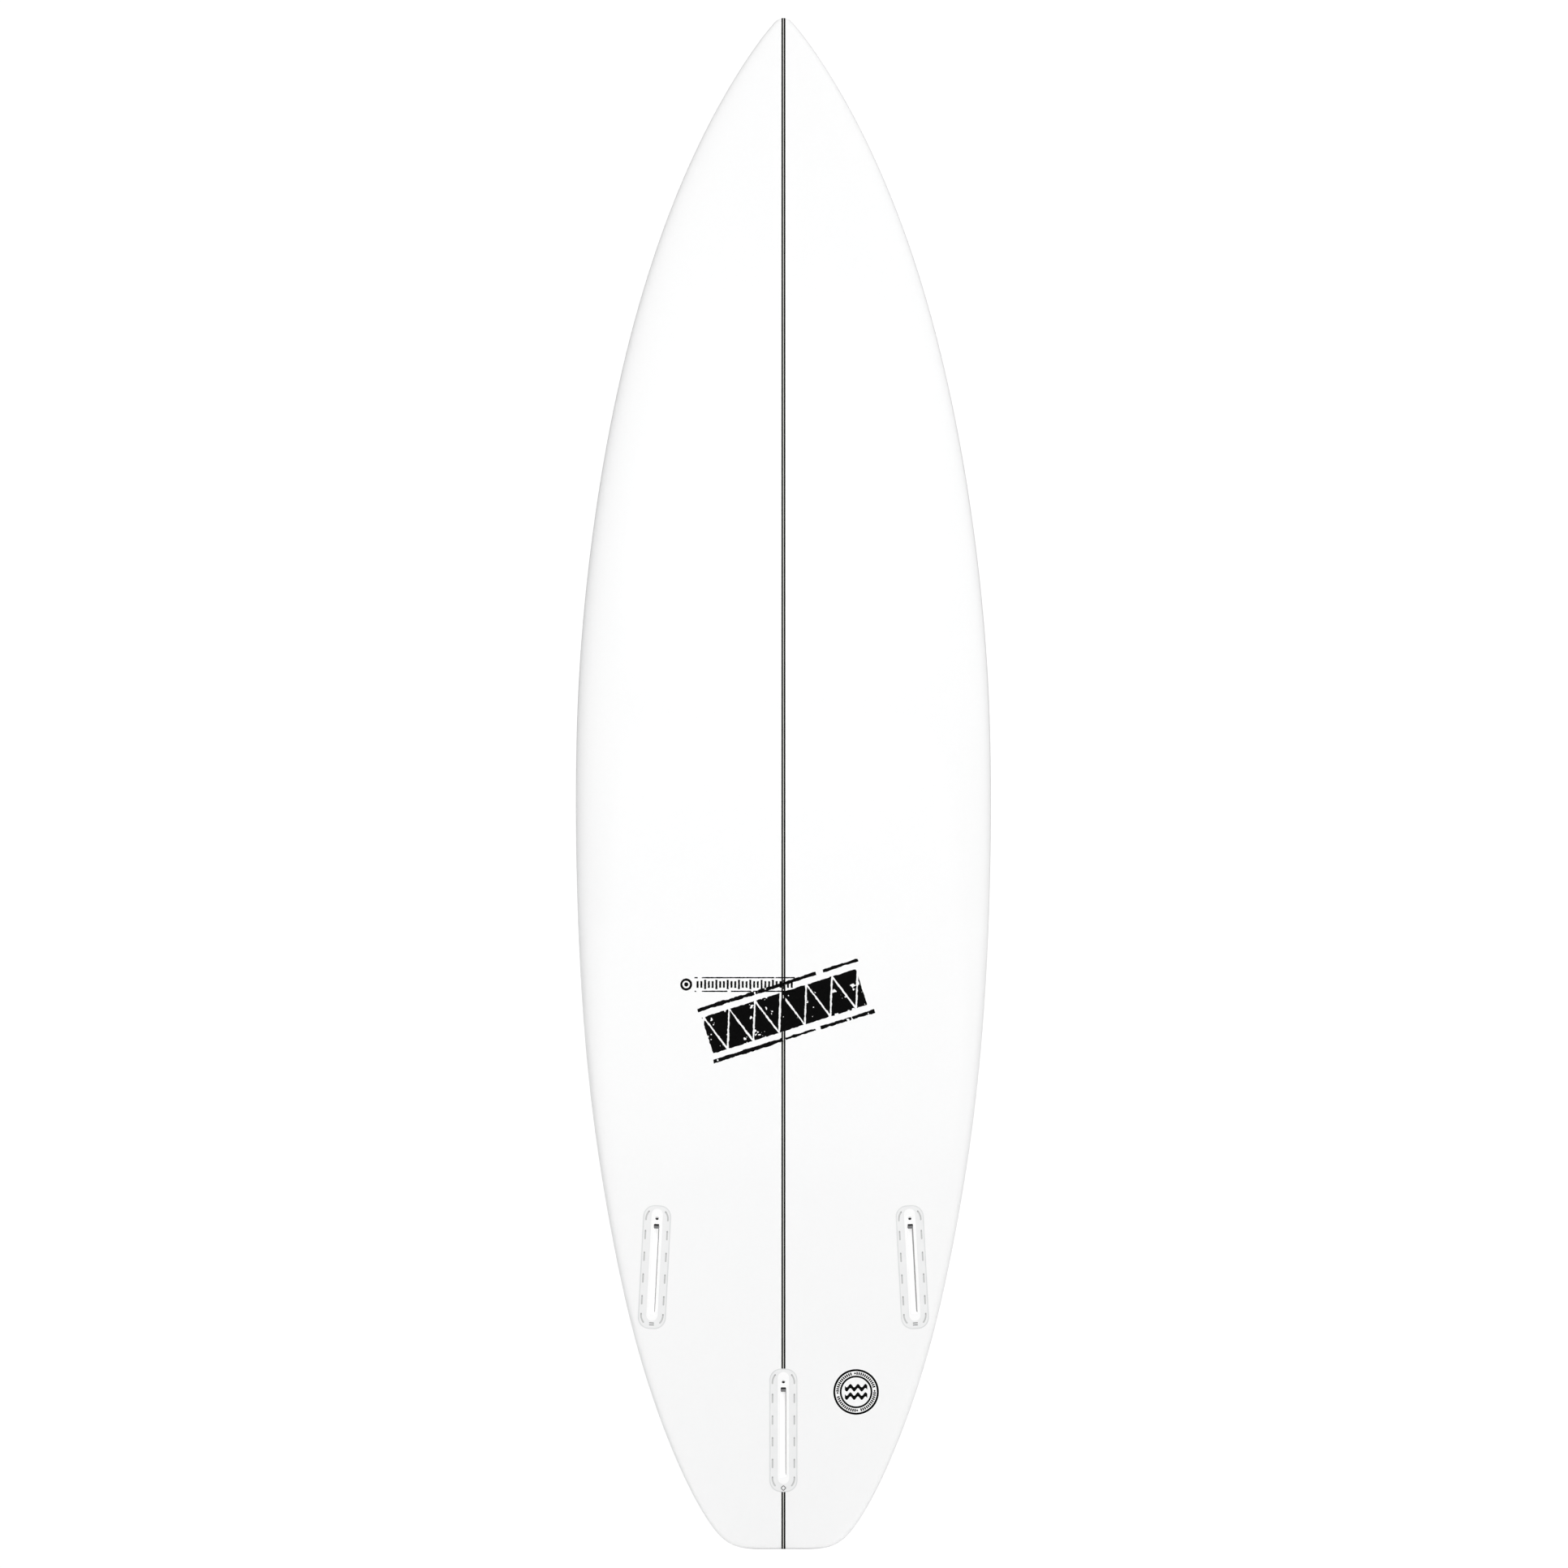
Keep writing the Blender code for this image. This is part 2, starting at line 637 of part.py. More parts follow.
def build():
    clear_scene()
    foam = material("blank_foam", (0.93, 0.92, 0.88), 0.85)
    glass = material("white_glass_skin", (0.95, 0.95, 0.95), 0.30)
    wood = material("stringer_wood", (0.66, 0.60, 0.50), 0.60)
    glue = material("dark_glue", (0.03, 0.03, 0.03), 0.50)
    box_plastic = material("fin_box_plastic", (0.92, 0.92, 0.92), 0.40)
    bar_metal = material("retainer_metal", (0.55, 0.55, 0.56), 0.30, 1.0)
    roller_plastic = material("roller_plastic", (0.10, 0.10, 0.11), 0.45)
    cup_plastic = material("leash_cup_plastic", (0.90, 0.90, 0.90), 0.40)
    pin_metal = material("leash_pin_metal", (0.62, 0.62, 0.63), 0.25, 1.0)
    paper = material("print_tissue", (0.85, 0.85, 0.85), 0.80)

    skin = Skin()
    bottom = laminate(skin, "bottom_laminate", "bottom", BOTTOM_GLASS, glass)
    deck = laminate(skin, "deck_laminate", "deck", DECK_GLASS, glass)
    wood_edge = STRINGER / 2
    glue_edge = wood_edge + GAP
    foam_edge = glue_edge + GLUE_LINE + GAP
    slabs = {
        "stringer": core_slab(skin, "stringer", -wood_edge, wood_edge, wood),
        "glue_line_left": core_slab(skin, "glue_line_left", -glue_edge - GLUE_LINE, -glue_edge, glue),
        "glue_line_right": core_slab(skin, "glue_line_right", glue_edge, glue_edge + GLUE_LINE, glue),
        "foam_left": core_slab(skin, "foam_left", None, -foam_edge, foam),
        "foam_right": core_slab(skin, "foam_right", foam_edge, None, foam),
    }

    seats = {
        "left": box_seat(-SIDE_BOX_ACROSS, SIDE_BOX_UP, SIDE_BOX_TOE),
        "right": box_seat(SIDE_BOX_ACROSS, SIDE_BOX_UP, SIDE_BOX_TOE),
        "centre": box_seat(0.0, CENTRE_BOX_UP, 0.0),
    }
    cup_pocket = leash_plug(plug_seat(), cup_plastic, pin_metal)
    cut(deck, cup_pocket)
    for side, seat in seats.items():
        fin_box("fin_box_" + side, seat, box_plastic)
        retainer(side, seat, bar_metal, roller_plastic)
        pockets = box_pockets(side, seat)
        cut(bottom, pockets[1])
        for name, slab in slabs.items():
            if side == "centre" or name == "foam_" + side:
                cut(slab, *pockets)
    for slab in slabs.values():
        cut(slab, cup_pocket)

    stamp_tissue(paper)
    badge_tissue(paper)


build()
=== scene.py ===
"""Looks for the shortboard: glass skins, stringer, fin boxes, leash plug and prints around the CAD frame.

All sizes are in metres, in the CAD's frame: +Z from tail to nose, the bottom faces -Y, X across.
"""

import math

import bmesh
import bpy
import numpy as np
from mathutils import Matrix, Vector

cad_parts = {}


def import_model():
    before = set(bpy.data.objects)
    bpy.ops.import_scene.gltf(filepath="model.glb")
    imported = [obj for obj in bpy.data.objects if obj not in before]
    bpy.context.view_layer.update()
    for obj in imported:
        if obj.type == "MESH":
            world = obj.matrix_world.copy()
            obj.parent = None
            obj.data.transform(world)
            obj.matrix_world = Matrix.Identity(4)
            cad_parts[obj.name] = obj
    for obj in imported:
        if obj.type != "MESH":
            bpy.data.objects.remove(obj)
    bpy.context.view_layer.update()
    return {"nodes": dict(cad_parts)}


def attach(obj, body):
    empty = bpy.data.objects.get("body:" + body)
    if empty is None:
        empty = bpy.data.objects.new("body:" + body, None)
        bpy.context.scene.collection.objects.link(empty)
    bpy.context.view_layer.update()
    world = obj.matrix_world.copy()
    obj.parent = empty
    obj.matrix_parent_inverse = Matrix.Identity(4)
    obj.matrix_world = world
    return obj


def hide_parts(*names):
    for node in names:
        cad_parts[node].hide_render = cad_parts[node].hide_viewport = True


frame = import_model()

# The board's shape, as the CAD has it
LENGTH = 1.829
TAIL_ROCKER = 0.060
NOSE_ROCKER = 0.124
ROCKER_LOW = 0.90
ROCKER_POWER = 2.2
CONCAVE = 0.003
OUTLINE = (
    (0.0, 0.0), (0.0400, 0.0004), (0.0585, 0.0040), (0.0740, 0.0140), (0.0870, 0.0295),
    (0.1060, 0.0610), (0.1375, 0.1300), (0.1715, 0.2300), (0.2030, 0.3650), (0.2290, 0.5300),
    (0.2440, 0.7200), (0.2478, 0.8800), (0.2450, 1.0250), (0.2270, 1.2190), (0.1925, 1.4090),
    (0.1425, 1.5790), (0.0905, 1.6990), (0.0505, 1.7690), (0.0230, 1.8085), (0.0102, 1.8240),
    (0.0048, 1.8284), (0.0, LENGTH),
)
THICKNESS = (
    (0.0, 0.014), (0.07, 0.0255), (0.305, 0.041), (0.61, 0.054), (0.93, 0.060),
    (1.22, 0.0555), (1.524, 0.037), (1.75, 0.018), (LENGTH, 0.0095),
)
RAIL_LINE = ((0.0, 0.22), (0.40, 0.24), (0.90, 0.34), (1.40, 0.38), (LENGTH, 0.45))
EDGE_POWER = ((0.0, 60.0), (0.42, 60.0), (0.75, 14.0), (1.10, 9.0), (LENGTH, 5.0))
DECK_CROWN = 2.6
DECK_ROLL = 1.7
TAIL_FAN = 0.045
NOSE_FAN = 0.012

# How finely the skins are made
RIM_STEPS = 280
REACH_STEPS = 40
BOTTOM_GLASS = 0.0006
DECK_GLASS = 0.0009
SHARP = math.radians(35)
WELD = 1e7  # points that agree in this many parts of a metre are one
TOUCH = 1e-7

# How far each thing stands out of the glass: enough to show, too little to feel
STRINGER_LIFT = 0.00003
PRINT_LIFT = 0.00006
SPINE_LIFT = 0.00005
PATCH_LIFT = 0.00006
MARK_LIFT = 0.00010
END_LIFT = 0.00013

# How deep the thin pieces on the glass reach into it
MARK_BURY = 0.0002
PATCH_BURY = 0.0003
PRINT_THICK = 0.0001

# How far cutters stand out of a surface
CUT_ABOVE = 0.005
SLOT_CUT_ABOVE = 0.004
SCREW_CUT_ABOVE = 0.006
SKIN_CUT = 0.00002  # how much wider than a piece its hole in a skin is, all round

# The stringer: half the wood's width, and the outer edge of the dark glue beside it
WOOD_EDGE = 0.00040
GLUE_EDGE = 0.00240

# Fin boxes, in their seats' frames: X across, Y towards the nose, Z out of the bottom
SIDE_BOX_ACROSS = 0.154
SIDE_BOX_UP = 0.3367
SIDE_BOX_TOE = math.radians(3.0)
CENTRE_BOX_UP = 0.1417
SEAT_SINK = 0.0002
SEAT_STEP = 0.005
FLANGE = (0.033, 0.148)
FLANGE_CORNER = 0.0135
FLANGE_TOP = 0.0019
FLANGE_THICK = 0.0022
BODY = (0.0135, 0.1346)
BODY_SHIFT = 0.0028
BODY_DEPTH = 0.018
SLOT = (0.0068, 0.1076)
SLOT_SHIFT = -0.0021
SLOT_DEPTH = 0.014
SLOT_CORNER = 0.0012
# How far the slot's right wall stands in at the slot's floor, and how far it is sunk in the box
WALL_LEAN = {"left": 0.0008, "right": 0.0019, "centre": 0.0010}
WALL_SINK = 0.0001
# The well ahead of the roller, painted in deep shade: width, length, depth below the slot's floor
WELL = (0.0064, 0.0042, 0.0006)
SCREW_ALONG = 0.0585
SCREW_RADIUS = 0.0020
SCREW_FLAT = 0.74  # the screw hole's height as a share of its width, square to its axis
SCREW_CORE = 0.9  # the core's width as a share of the mouth's
SCREW_SLANT = math.radians(45)
SCREW_HOLE_DEPTH = 0.0125
SCREW_STEP = -0.0011
SLACK = 0.0001  # how far a face's middle may lie off the wall it counts as part of

# The flange's resin holes: a straight row on each side and a bent one at each corner
HOLE_ACROSS = 0.0130
HOLE_PITCH = 0.0261
HOLE_ROWS = 4
HOLE = (0.0019, 0.0113)
HOLE_SHIFT = -0.0007
HOLE_END = (0.86, 0.0021)  # the front end, darker with painted shade: its width as a share of the hole's, and its length
HOLE_ARC_MIDDLE = (-0.0013, 0.0575)
HOLE_ARC_RADIUS = 0.0144
HOLE_ARC_TURNS = (math.radians(-6), math.radians(41))
HOLE_ARC_SPARE = 0.03  # how far the bend turns on beyond both, in radians
HOLE_ARC_STEPS = 16
STROKE_END_STEPS = 6
STROKE_MIDDLE_STEPS = 8
STROKE_TIP = 0.02  # a stroke's width at its very end, as a share of the whole

# The glass over the flange: its gap to the spine, its rings, and how its outer edge falls away
PATCH_GAP = 0.00003
PATCH_RINGS = 7
PATCH_FALL = (0.4, 8)
# The line at the flange's edge: how far out each ring lies, and how high
EDGE_PROFILE = (
    (-0.0011, PATCH_LIFT),
    (-0.0008, MARK_LIFT),
    (0.0, MARK_LIFT),
    (0.0003, 0.0),
    (0.0, -MARK_BURY),
    (-0.0011, -MARK_BURY),
)

# The marks behind the spine
MARK_ALONG = -0.0694
MARK_HALF = 0.0030
MARK_PITCH = 0.0024
MARK_THICK = 0.0011

# The retainer: a roller on a sprung bar
TRAVEL = 0.0012
GAP = 0.0003
REST_SPARE = GAP / 5  # keeps the rest's faces off the corner points of the slot
ROLLER_RADIUS = 0.0022
ROLLER_LENGTH = 0.0060
ROLLER_DEPTH = 0.0036
ROLLER_SOFT = 0.0004
ROLLER_CHAMFER = 0.0002
GROOVE_PITCH = 0.0009
GROOVE = (0.0002, 0.0001, 0.00012)  # half its width at the top and at the bottom, and its depth
BAR_RADIUS = 0.0010
BAR_LENGTH = 0.0112
BAR_SOFT = 0.0002

# Leash plug
PLUG_UP = 0.050
CUP_RADIUS = 0.0134
CUP_BORE = 0.0106
CUP_DEPTH = 0.0152
CUP_FLOOR = 0.0024
CUP_ROUND = 0.0012
CUP_LIP = 0.0006
CUP_RISE = 0.0001
PIN_RADIUS = 0.0015
PIN_LENGTH = 0.0262
PIN_DEPTH = 0.0048
PIN_SOFT = 0.0003
HAIR = 0.00001  # too small to see: keeps two corners from falling together

# Prints: middle (across, up), and for the stamp its tilt
STAMP_MIDDLE = (0.0034, 0.643)
STAMP_TILT = math.radians(17.55)
STRIP_MIDDLE = (-0.0553, 0.6743)
BADGE_MIDDLE = (0.0868, 0.1876)


# ---- the board's surface


def spline(knots, values):
    """The natural cubic spline through values at knots, as a function of an array."""
    knots = np.array(knots, float)
    values = np.array(values, float)
    step = np.diff(knots)
    slope = np.diff(values) / step
    count = len(knots)
    system = np.eye(count)
    right = np.zeros(count)
    for i in range(1, count - 1):
        system[i, i - 1 : i + 2] = step[i - 1], 2 * (step[i - 1] + step[i]), step[i]
        right[i] = 6 * (slope[i] - slope[i - 1])
    bend = np.linalg.solve(system, right)

    def at(x):
        i = np.clip(np.searchsorted(knots, x) - 1, 0, count - 2)
        low = (knots[i + 1] - x) / step[i]
        high = (x - knots[i]) / step[i]
        curve = (low**3 - low) * bend[i] + (high**3 - high) * bend[i + 1]
        return low * values[i] + high * values[i + 1] + curve * step[i] ** 2 / 6

    return at


def outline_curve():
    """The half outline as a function from 0 at the tail's middle to 1 at the nose tip."""
    points = np.array(OUTLINE)
    along = np.concatenate([[0], np.cumsum(np.hypot(*np.diff(points, axis=0).T))])
    across = spline(along / along[-1], points[:, 0])
    up = spline(along / along[-1], points[:, 1])
    return lambda t: (np.maximum(across(t), 0.0), np.maximum(up(t), 0.0))


thickness_at = spline(*zip(*THICKNESS))
rail_line_at = spline(*zip(*RAIL_LINE))
rim_at = outline_curve()
# The half width by height, from beyond the tail's middle to just under the nose tip
HALF_WIDTHS, HEIGHTS = rim_at(np.linspace(0.02, 0.999, 3000))


def rocker_at(up):
    low = TAIL_ROCKER * (np.maximum(ROCKER_LOW - up, 0) / ROCKER_LOW) ** ROCKER_POWER
    high = NOSE_ROCKER * (np.maximum(up - ROCKER_LOW, 0) / (LENGTH - ROCKER_LOW)) ** ROCKER_POWER
    return low + high


def rail_height_at(up):
    return thickness_at(up) * rail_line_at(up)


TAIL_SET = TAIL_ROCKER + float(rail_height_at(0.0))


def hollow_at(up, reach):
    return CONCAVE * np.sin(math.pi * up / LENGTH) * reach**2


def bottom_y(up, reach):
    """The bottom surface. reach is 0 on the centre line and 1 on the rail line."""
    power = np.interp(up, *zip(*EDGE_POWER))
    turn = 1 - np.sqrt(np.maximum(1 - reach**power, 0.0))
    return rocker_at(up) - TAIL_SET + rail_height_at(up) * turn - hollow_at(up, reach)


def deck_y(up, reach):
    rail = rail_height_at(up)
    crown = np.maximum(1 - reach**DECK_CROWN, 0.0) ** (1 / DECK_ROLL)
    return rocker_at(up) - TAIL_SET + rail + (thickness_at(up) - rail) * crown - hollow_at(up, reach)


def fan(distance, size):
    return (np.sqrt(distance**2 + 4 * size**2) - distance) / 2


def on_bottom(across, up, lift=0.0):
    """A point of the bottom, lifted out of it."""
    reach = abs(across) / np.interp(up, HEIGHTS, HALF_WIDTHS)
    return across, float(bottom_y(up, reach)) - lift, up


class Skin:
    """The closed outer surface as quads and triangles, with its vertex normals."""

    def __init__(self):
        turns = (1 - np.cos(math.pi * np.arange(RIM_STEPS + 1) / RIM_STEPS)) / 2
        across, up = rim_at(turns)
        across[0] = across[-1] = 0.0
        up[0], up[-1] = 0.0, LENGTH
        inner = up + fan(up, TAIL_FAN) - fan(LENGTH - up, NOSE_FAN)
        inner[0], inner[-1] = inner[1], inner[-2]
        reach = 1 - (1 - np.linspace(0, 1, REACH_STEPS + 1)) ** 3
        here = inner[:, None] + (up - inner)[:, None] * reach
        wide = across[:, None] * reach
        self.points = []
        self.index = {}
        self.faces = {"bottom": [], "deck": []}
        edges = []
        for side in (1, -1):
            for name, height_of in (("bottom", bottom_y), ("deck", deck_y)):
                surface = height_of(here, np.broadcast_to(reach, here.shape))
                grid = np.stack([side * wide, surface, here], -1)
                rows = [[self.place(point) for point in line] for line in grid.tolist()]
                self.add_faces(rows, name, (side > 0) == (name == "bottom"))
            edges.append([row[-1] for row in rows])
        self.rim = edges[0] + edges[1][-2:0:-1]
        self.points = np.array(self.points)
        self.normals = self.vertex_normals()

    def place(self, point):
        key = tuple(round(c * WELD) for c in point)
        if key not in self.index:
            self.index[key] = len(self.points)
            self.points.append(point)
        return self.index[key]

    def add_faces(self, rows, name, outward):
        for low, high in zip(rows, rows[1:]):
            for j in range(REACH_STEPS):
                ring = [low[j], low[j + 1], high[j + 1], high[j]]
                ring = [v for k, v in enumerate(ring) if v != ring[k - 1]]
                if len(set(ring)) >= 3:
                    self.faces[name].append(tuple(ring) if outward else tuple(ring[::-1]))

    def vertex_normals(self):
        normals = np.zeros_like(self.points)
        for face in self.faces["bottom"] + self.faces["deck"]:
            p = self.points[list(face)]
            across = np.cross(p[2] - p[0], p[-1] - p[1] if len(face) == 4 else p[2] - p[1])
            for v in face:
                normals[v] += across
        size = np.linalg.norm(normals, axis=1)[:, None]
        return normals / np.maximum(size, 1e-12)


# ---- mesh helpers


def make_object(name, points, faces, *finishes):
    """A mesh object, its faces turned out and shaded smooth but for its sharp edges."""
    mesh = bpy.data.meshes.new(name)
    mesh.from_pydata([tuple(p) for p in points], [], faces)
    work = bmesh.new()
    work.from_mesh(mesh)
    bmesh.ops.recalc_face_normals(work, faces=work.faces)
    work.to_mesh(mesh)
    work.free()
    return link_mesh(name, mesh, *finishes)


def link_mesh(name, mesh, *finishes):
    mesh.shade_smooth()
    mesh.set_sharp_from_angle(angle=SHARP)
    for finish in finishes:
        mesh.materials.append(finish)
    made = bpy.data.objects.new(name, mesh)
    bpy.context.scene.collection.objects.link(made)
    return made


def carve(target, cutters):
    """Cuts closed meshes out of an object, and deletes them."""
    for cutter in cutters:
        step = target.modifiers.new("cut", "BOOLEAN")
        step.operation = "DIFFERENCE"
        step.solver = "EXACT"
        step.object = cutter
    bpy.context.view_layer.update()
    seen = target.evaluated_get(bpy.context.evaluated_depsgraph_get())
    mesh = bpy.data.meshes.new_from_object(seen)
    target.modifiers.clear()
    old = target.data
    target.data = mesh
    bpy.data.meshes.remove(old)
    mesh.name = target.name
    mesh.shade_smooth()
    mesh.set_sharp_from_angle(angle=SHARP)
    for cutter in cutters:
        bpy.data.objects.remove(cutter)


def side_points(size, corner, shift=0.0, grow=0.0, steps=10, straight=34):
    """The right half of a rounded rectangle's outline, from front to rear."""
    corner = corner + grow
    wide, high = size[0] / 2 + grow, size[1] / 2 + grow
    front = []
    for turn in np.linspace(0, math.pi / 2, steps + 1):
        front.append((wide - corner + corner * math.sin(turn), high - corner + corner * math.cos(turn)))
    rear = [(x, -y) for x, y in reversed(front)]
    middle = [(wide, y) for y in np.linspace(high - corner, corner - high, straight + 1)[1:-1]]
    return [(x, y + shift) for x, y in front + middle + rear]


def body_side(grow=0.0):
    return side_points(BODY, BODY[0] / 2 - HAIR, BODY_SHIFT, grow)


def flange_side(grow=0.0):
    return side_points(FLANGE, FLANGE_CORNER, 0.0, grow)


def whole(side):
    """The whole outline from its right half."""
    return list(side) + [(-x, y) for x, y in reversed(side)]


def ladder(offset, count):
    """Quads that fill an outline made by whole(), whose half has count points."""
    last = offset + 2 * count - 1
    return [(offset + i, offset + i + 1, last - i - 1, last - i) for i in range(count - 1)]


def walls(rings, count, closed=False):
    """Quads between rings of equally many points, one after another in the list of points."""
    faces = []
    pairs = list(zip(range(rings), range(1, rings)))
    if closed:
        pairs.append((rings - 1, 0))
    for low, high in pairs:
        for k in range(count):
            after = (k + 1) % count
            start, end = low * count, high * count
            faces.append((start + k, start + after, end + after, end + k))
    return faces


def ellipse(wide, high, steps=48):
    turns = np.linspace(0, 2 * math.pi, steps, endpoint=False)
    return [(wide * math.cos(a), high * math.sin(a)) for a in turns]


def rectangle(left, right, rear, front):
    return [(left, rear), (right, rear), (right, front), (left, front)]


def prism(name, outline, low, high, matrix):
    """A straight closed solid, mostly used as a cutter."""
    count = len(outline)
    points = [matrix @ Vector((x, y, z)) for z in (low, high) for x, y in outline]
    faces = walls(2, count) + [tuple(range(count)), tuple(range(count, 2 * count))]
    return make_object(name, points, faces)


def turned(name, profile, matrix, finish, steps):
    """A solid turned about local Z from a closed profile of (radius, height) points."""
    points = []
    for k in range(steps):
        angle = 2 * math.pi * k / steps
        for radius, height in profile:
            points.append(matrix @ Vector((radius * math.cos(angle), radius * math.sin(angle), height)))
    return make_object(name, points, walls(steps, len(profile), closed=True), finish)


def arc(middle, radius, start, end, steps=6):
    """Points of a round corner; the angles are in degrees."""
    angles = np.radians(np.linspace(start, end, steps + 1))
    return [(middle[0] + radius * math.cos(a), middle[1] + radius * math.sin(a)) for a in angles]


def rod(name, length, radius, soft, matrix, finish, steps):
    """A round bar along local Z with softened ends."""
    half = length / 2
    profile = [(HAIR, -half), (HAIR, half)] + arc((radius - soft, half - soft), soft, 90, 0, 3)
    profile += arc((radius - soft, soft - half), soft, 0, -90, 3)
    return turned(name, profile, matrix, finish, steps)


LYING = Matrix.Rotation(math.pi / 2, 4, "Y")  # turns local Z along X


def seat_matrix(origin, forward, outward):
    across = forward.cross(outward).normalized()
    forward = outward.cross(across).normalized()
    matrix = Matrix((across, forward, outward.normalized())).transposed().to_4x4()
    matrix.translation = origin
    return matrix


def box_seat(across, up, toe):
    here = Vector(on_bottom(across, up))
    forward = Vector(on_bottom(across, up + SEAT_STEP)) - Vector(on_bottom(across, up - SEAT_STEP))
    sideways = Vector(on_bottom(across + SEAT_STEP, up)) - Vector(on_bottom(across - SEAT_STEP, up))
    outward = sideways.cross(forward).normalized()
    turn = math.copysign(toe, across) if across else 0.0
    forward = Matrix.Rotation(turn, 3, outward) @ forward
    return seat_matrix(here - outward * SEAT_SINK, forward, outward)


def plug_seat():
    rise = float(deck_y(PLUG_UP + SEAT_STEP, 0.0) - deck_y(PLUG_UP - SEAT_STEP, 0.0))
    forward = Vector((0, rise, 2 * SEAT_STEP))
    outward = forward.cross(Vector((1, 0, 0))).normalized()
    return seat_matrix(Vector((0, float(deck_y(PLUG_UP, 0.0)), PLUG_UP)), forward, outward)


def draped(seat, outline, lift):
    """Points of a flat outline in a seat's frame, laid on the bottom and lifted."""
    placed = [seat @ Vector((x, y, 0)) for x, y in outline]
    return [on_bottom(p.x, p.z, lift) for p in placed]


# ---- materials


def feed(made, inputs):
    """Gives a node's inputs values, or links them to other nodes' outputs."""
    for key, value in inputs.items():
        if isinstance(value, bpy.types.NodeSocket):
            made.id_data.links.new(value, made.inputs[key])
        else:
            made.inputs[key].default_value = value


def add_node(tree, kind, inputs=None, **settings):
    made = tree.nodes.new(kind)
    for key, value in settings.items():
        setattr(made, key, value)
    feed(made, inputs or {})
    return made


class Look:
    """A node material under construction, in object coordinates."""

    def __init__(self, name, **constants):
        self.made = bpy.data.materials.new(name)
        self.made.use_nodes = True
        self.shader = self.made.node_tree.nodes["Principled BSDF"]
        self.place = self.node("ShaderNodeTexCoord").outputs["Object"]
        feed(self.shader, constants)

    def node(self, kind, inputs=None, **settings):
        return add_node(self.made.node_tree, kind, inputs, **settings)

    def noise(self, scale, detail=3.0, roughness=0.55, stretch=None):
        place = self.place
        if stretch:
            place = self.node("ShaderNodeMapping", {"Scale": stretch, "Vector": place}).outputs["Vector"]
        inputs = {"Scale": scale, "Detail": detail, "Roughness": roughness, "Vector": place}
        return self.node("ShaderNodeTexNoise", inputs).outputs["Fac"]

    def ramp(self, factor, *stops):
        """A colour ramp; each of its two stops is a position and a colour or a grey."""
        made = self.node("ShaderNodeValToRGB", {"Fac": factor})
        for element, (position, colour) in zip(made.color_ramp.elements, stops):
            element.position = position
            tone = (colour,) * 3 if isinstance(colour, float) else colour
            element.color = (*tone, 1.0)
        return made.outputs["Color"]

    def blend(self, share, first, second):
        inputs = {"Factor": share, "A": first, "B": second}
        return self.node("ShaderNodeMix", inputs, data_type="RGBA").outputs["Result"]

    def colour(self, source):
        feed(self.shader, {"Base Color": source})

    def rough(self, factor, low, high):
        spread = self.node("ShaderNodeMapRange", {"To Min": low, "To Max": high, "Value": factor})
        feed(self.shader, {"Roughness": spread.outputs["Result"]})

    def bump(self, *heights):
        """Stacked bumps; each is a height source, a strength and the height in metres."""
        before = {}
        for source, strength, distance in heights:
            inputs = {"Strength": strength, "Distance": distance, "Height": source, **before}
            before = {"Normal": self.node("ShaderNodeBump", inputs).outputs["Normal"]}
        feed(self.shader, before)

    def bands(self, pitch, direction):
        """Straight bands with a pitch in metres, across a direction."""
        inputs = {"Scale": 2 * math.pi / (20 * pitch), "Distortion": 0.6, "Detail Scale": 0.2}
        settings = {"wave_type": "BANDS", "bands_direction": direction}
        return self.node("ShaderNodeTexWave", {**inputs, "Vector": self.place}, **settings).outputs["Fac"]


THREAD = 0.0013  # the cloth's pitch
DULL = {"Specular IOR Level": 0.03}


def glass_look(name):
    """White foam seen through resin: faint cloudy tone, cloth weave, and a smooth gloss over it."""
    look = Look(name, **{"Coat Weight": 0.35, "Coat Roughness": 0.10, "Coat IOR": 1.5})
    clouds = look.noise(3.2, 4.0, 0.6)
    specks = look.noise(260.0, 2.0)
    weave = look.blend(0.5, look.bands(THREAD, "X"), look.bands(THREAD, "Z"))
    tone = look.ramp(clouds, (0.25, (0.897, 0.900, 0.903)), (0.75, (0.908, 0.908, 0.906)))
    tone = look.blend(0.20, tone, look.ramp(weave, (0.1, 0.89), (0.9, 0.92)))
    tone = look.blend(0.10, tone, look.ramp(specks, (0.3, 0.86), (0.7, 0.93)))
    look.colour(tone)
    look.rough(look.noise(9.0, 5.0), 0.29, 0.38)
    look.bump((look.noise(14.0, 2.0), 0.12, 0.0006), (weave, 0.10, 0.00004))
    return look.made


def plastic_look(name, dark, light, rough=(0.30, 0.45), grain=900.0, **constants):
    look = Look(name, **constants)
    look.colour(look.ramp(look.noise(60.0, 4.0), (0.3, dark), (0.7, light)))
    look.rough(look.noise(140.0, 3.0), *rough)
    look.bump((look.noise(grain, 3.0), 0.15, 0.00005))
    return look.made


def metal_look(name, tone, axis_stretch):
    look = Look(name, Metallic=1.0)
    lines = look.noise(300.0, 3.0, 0.6, stretch=axis_stretch)
    look.colour(look.ramp(lines, (0.3, tone * 0.86), (0.7, tone)))
    look.rough(lines, 0.14, 0.26)
    look.bump((lines, 0.12, 0.00003))
    return look.made


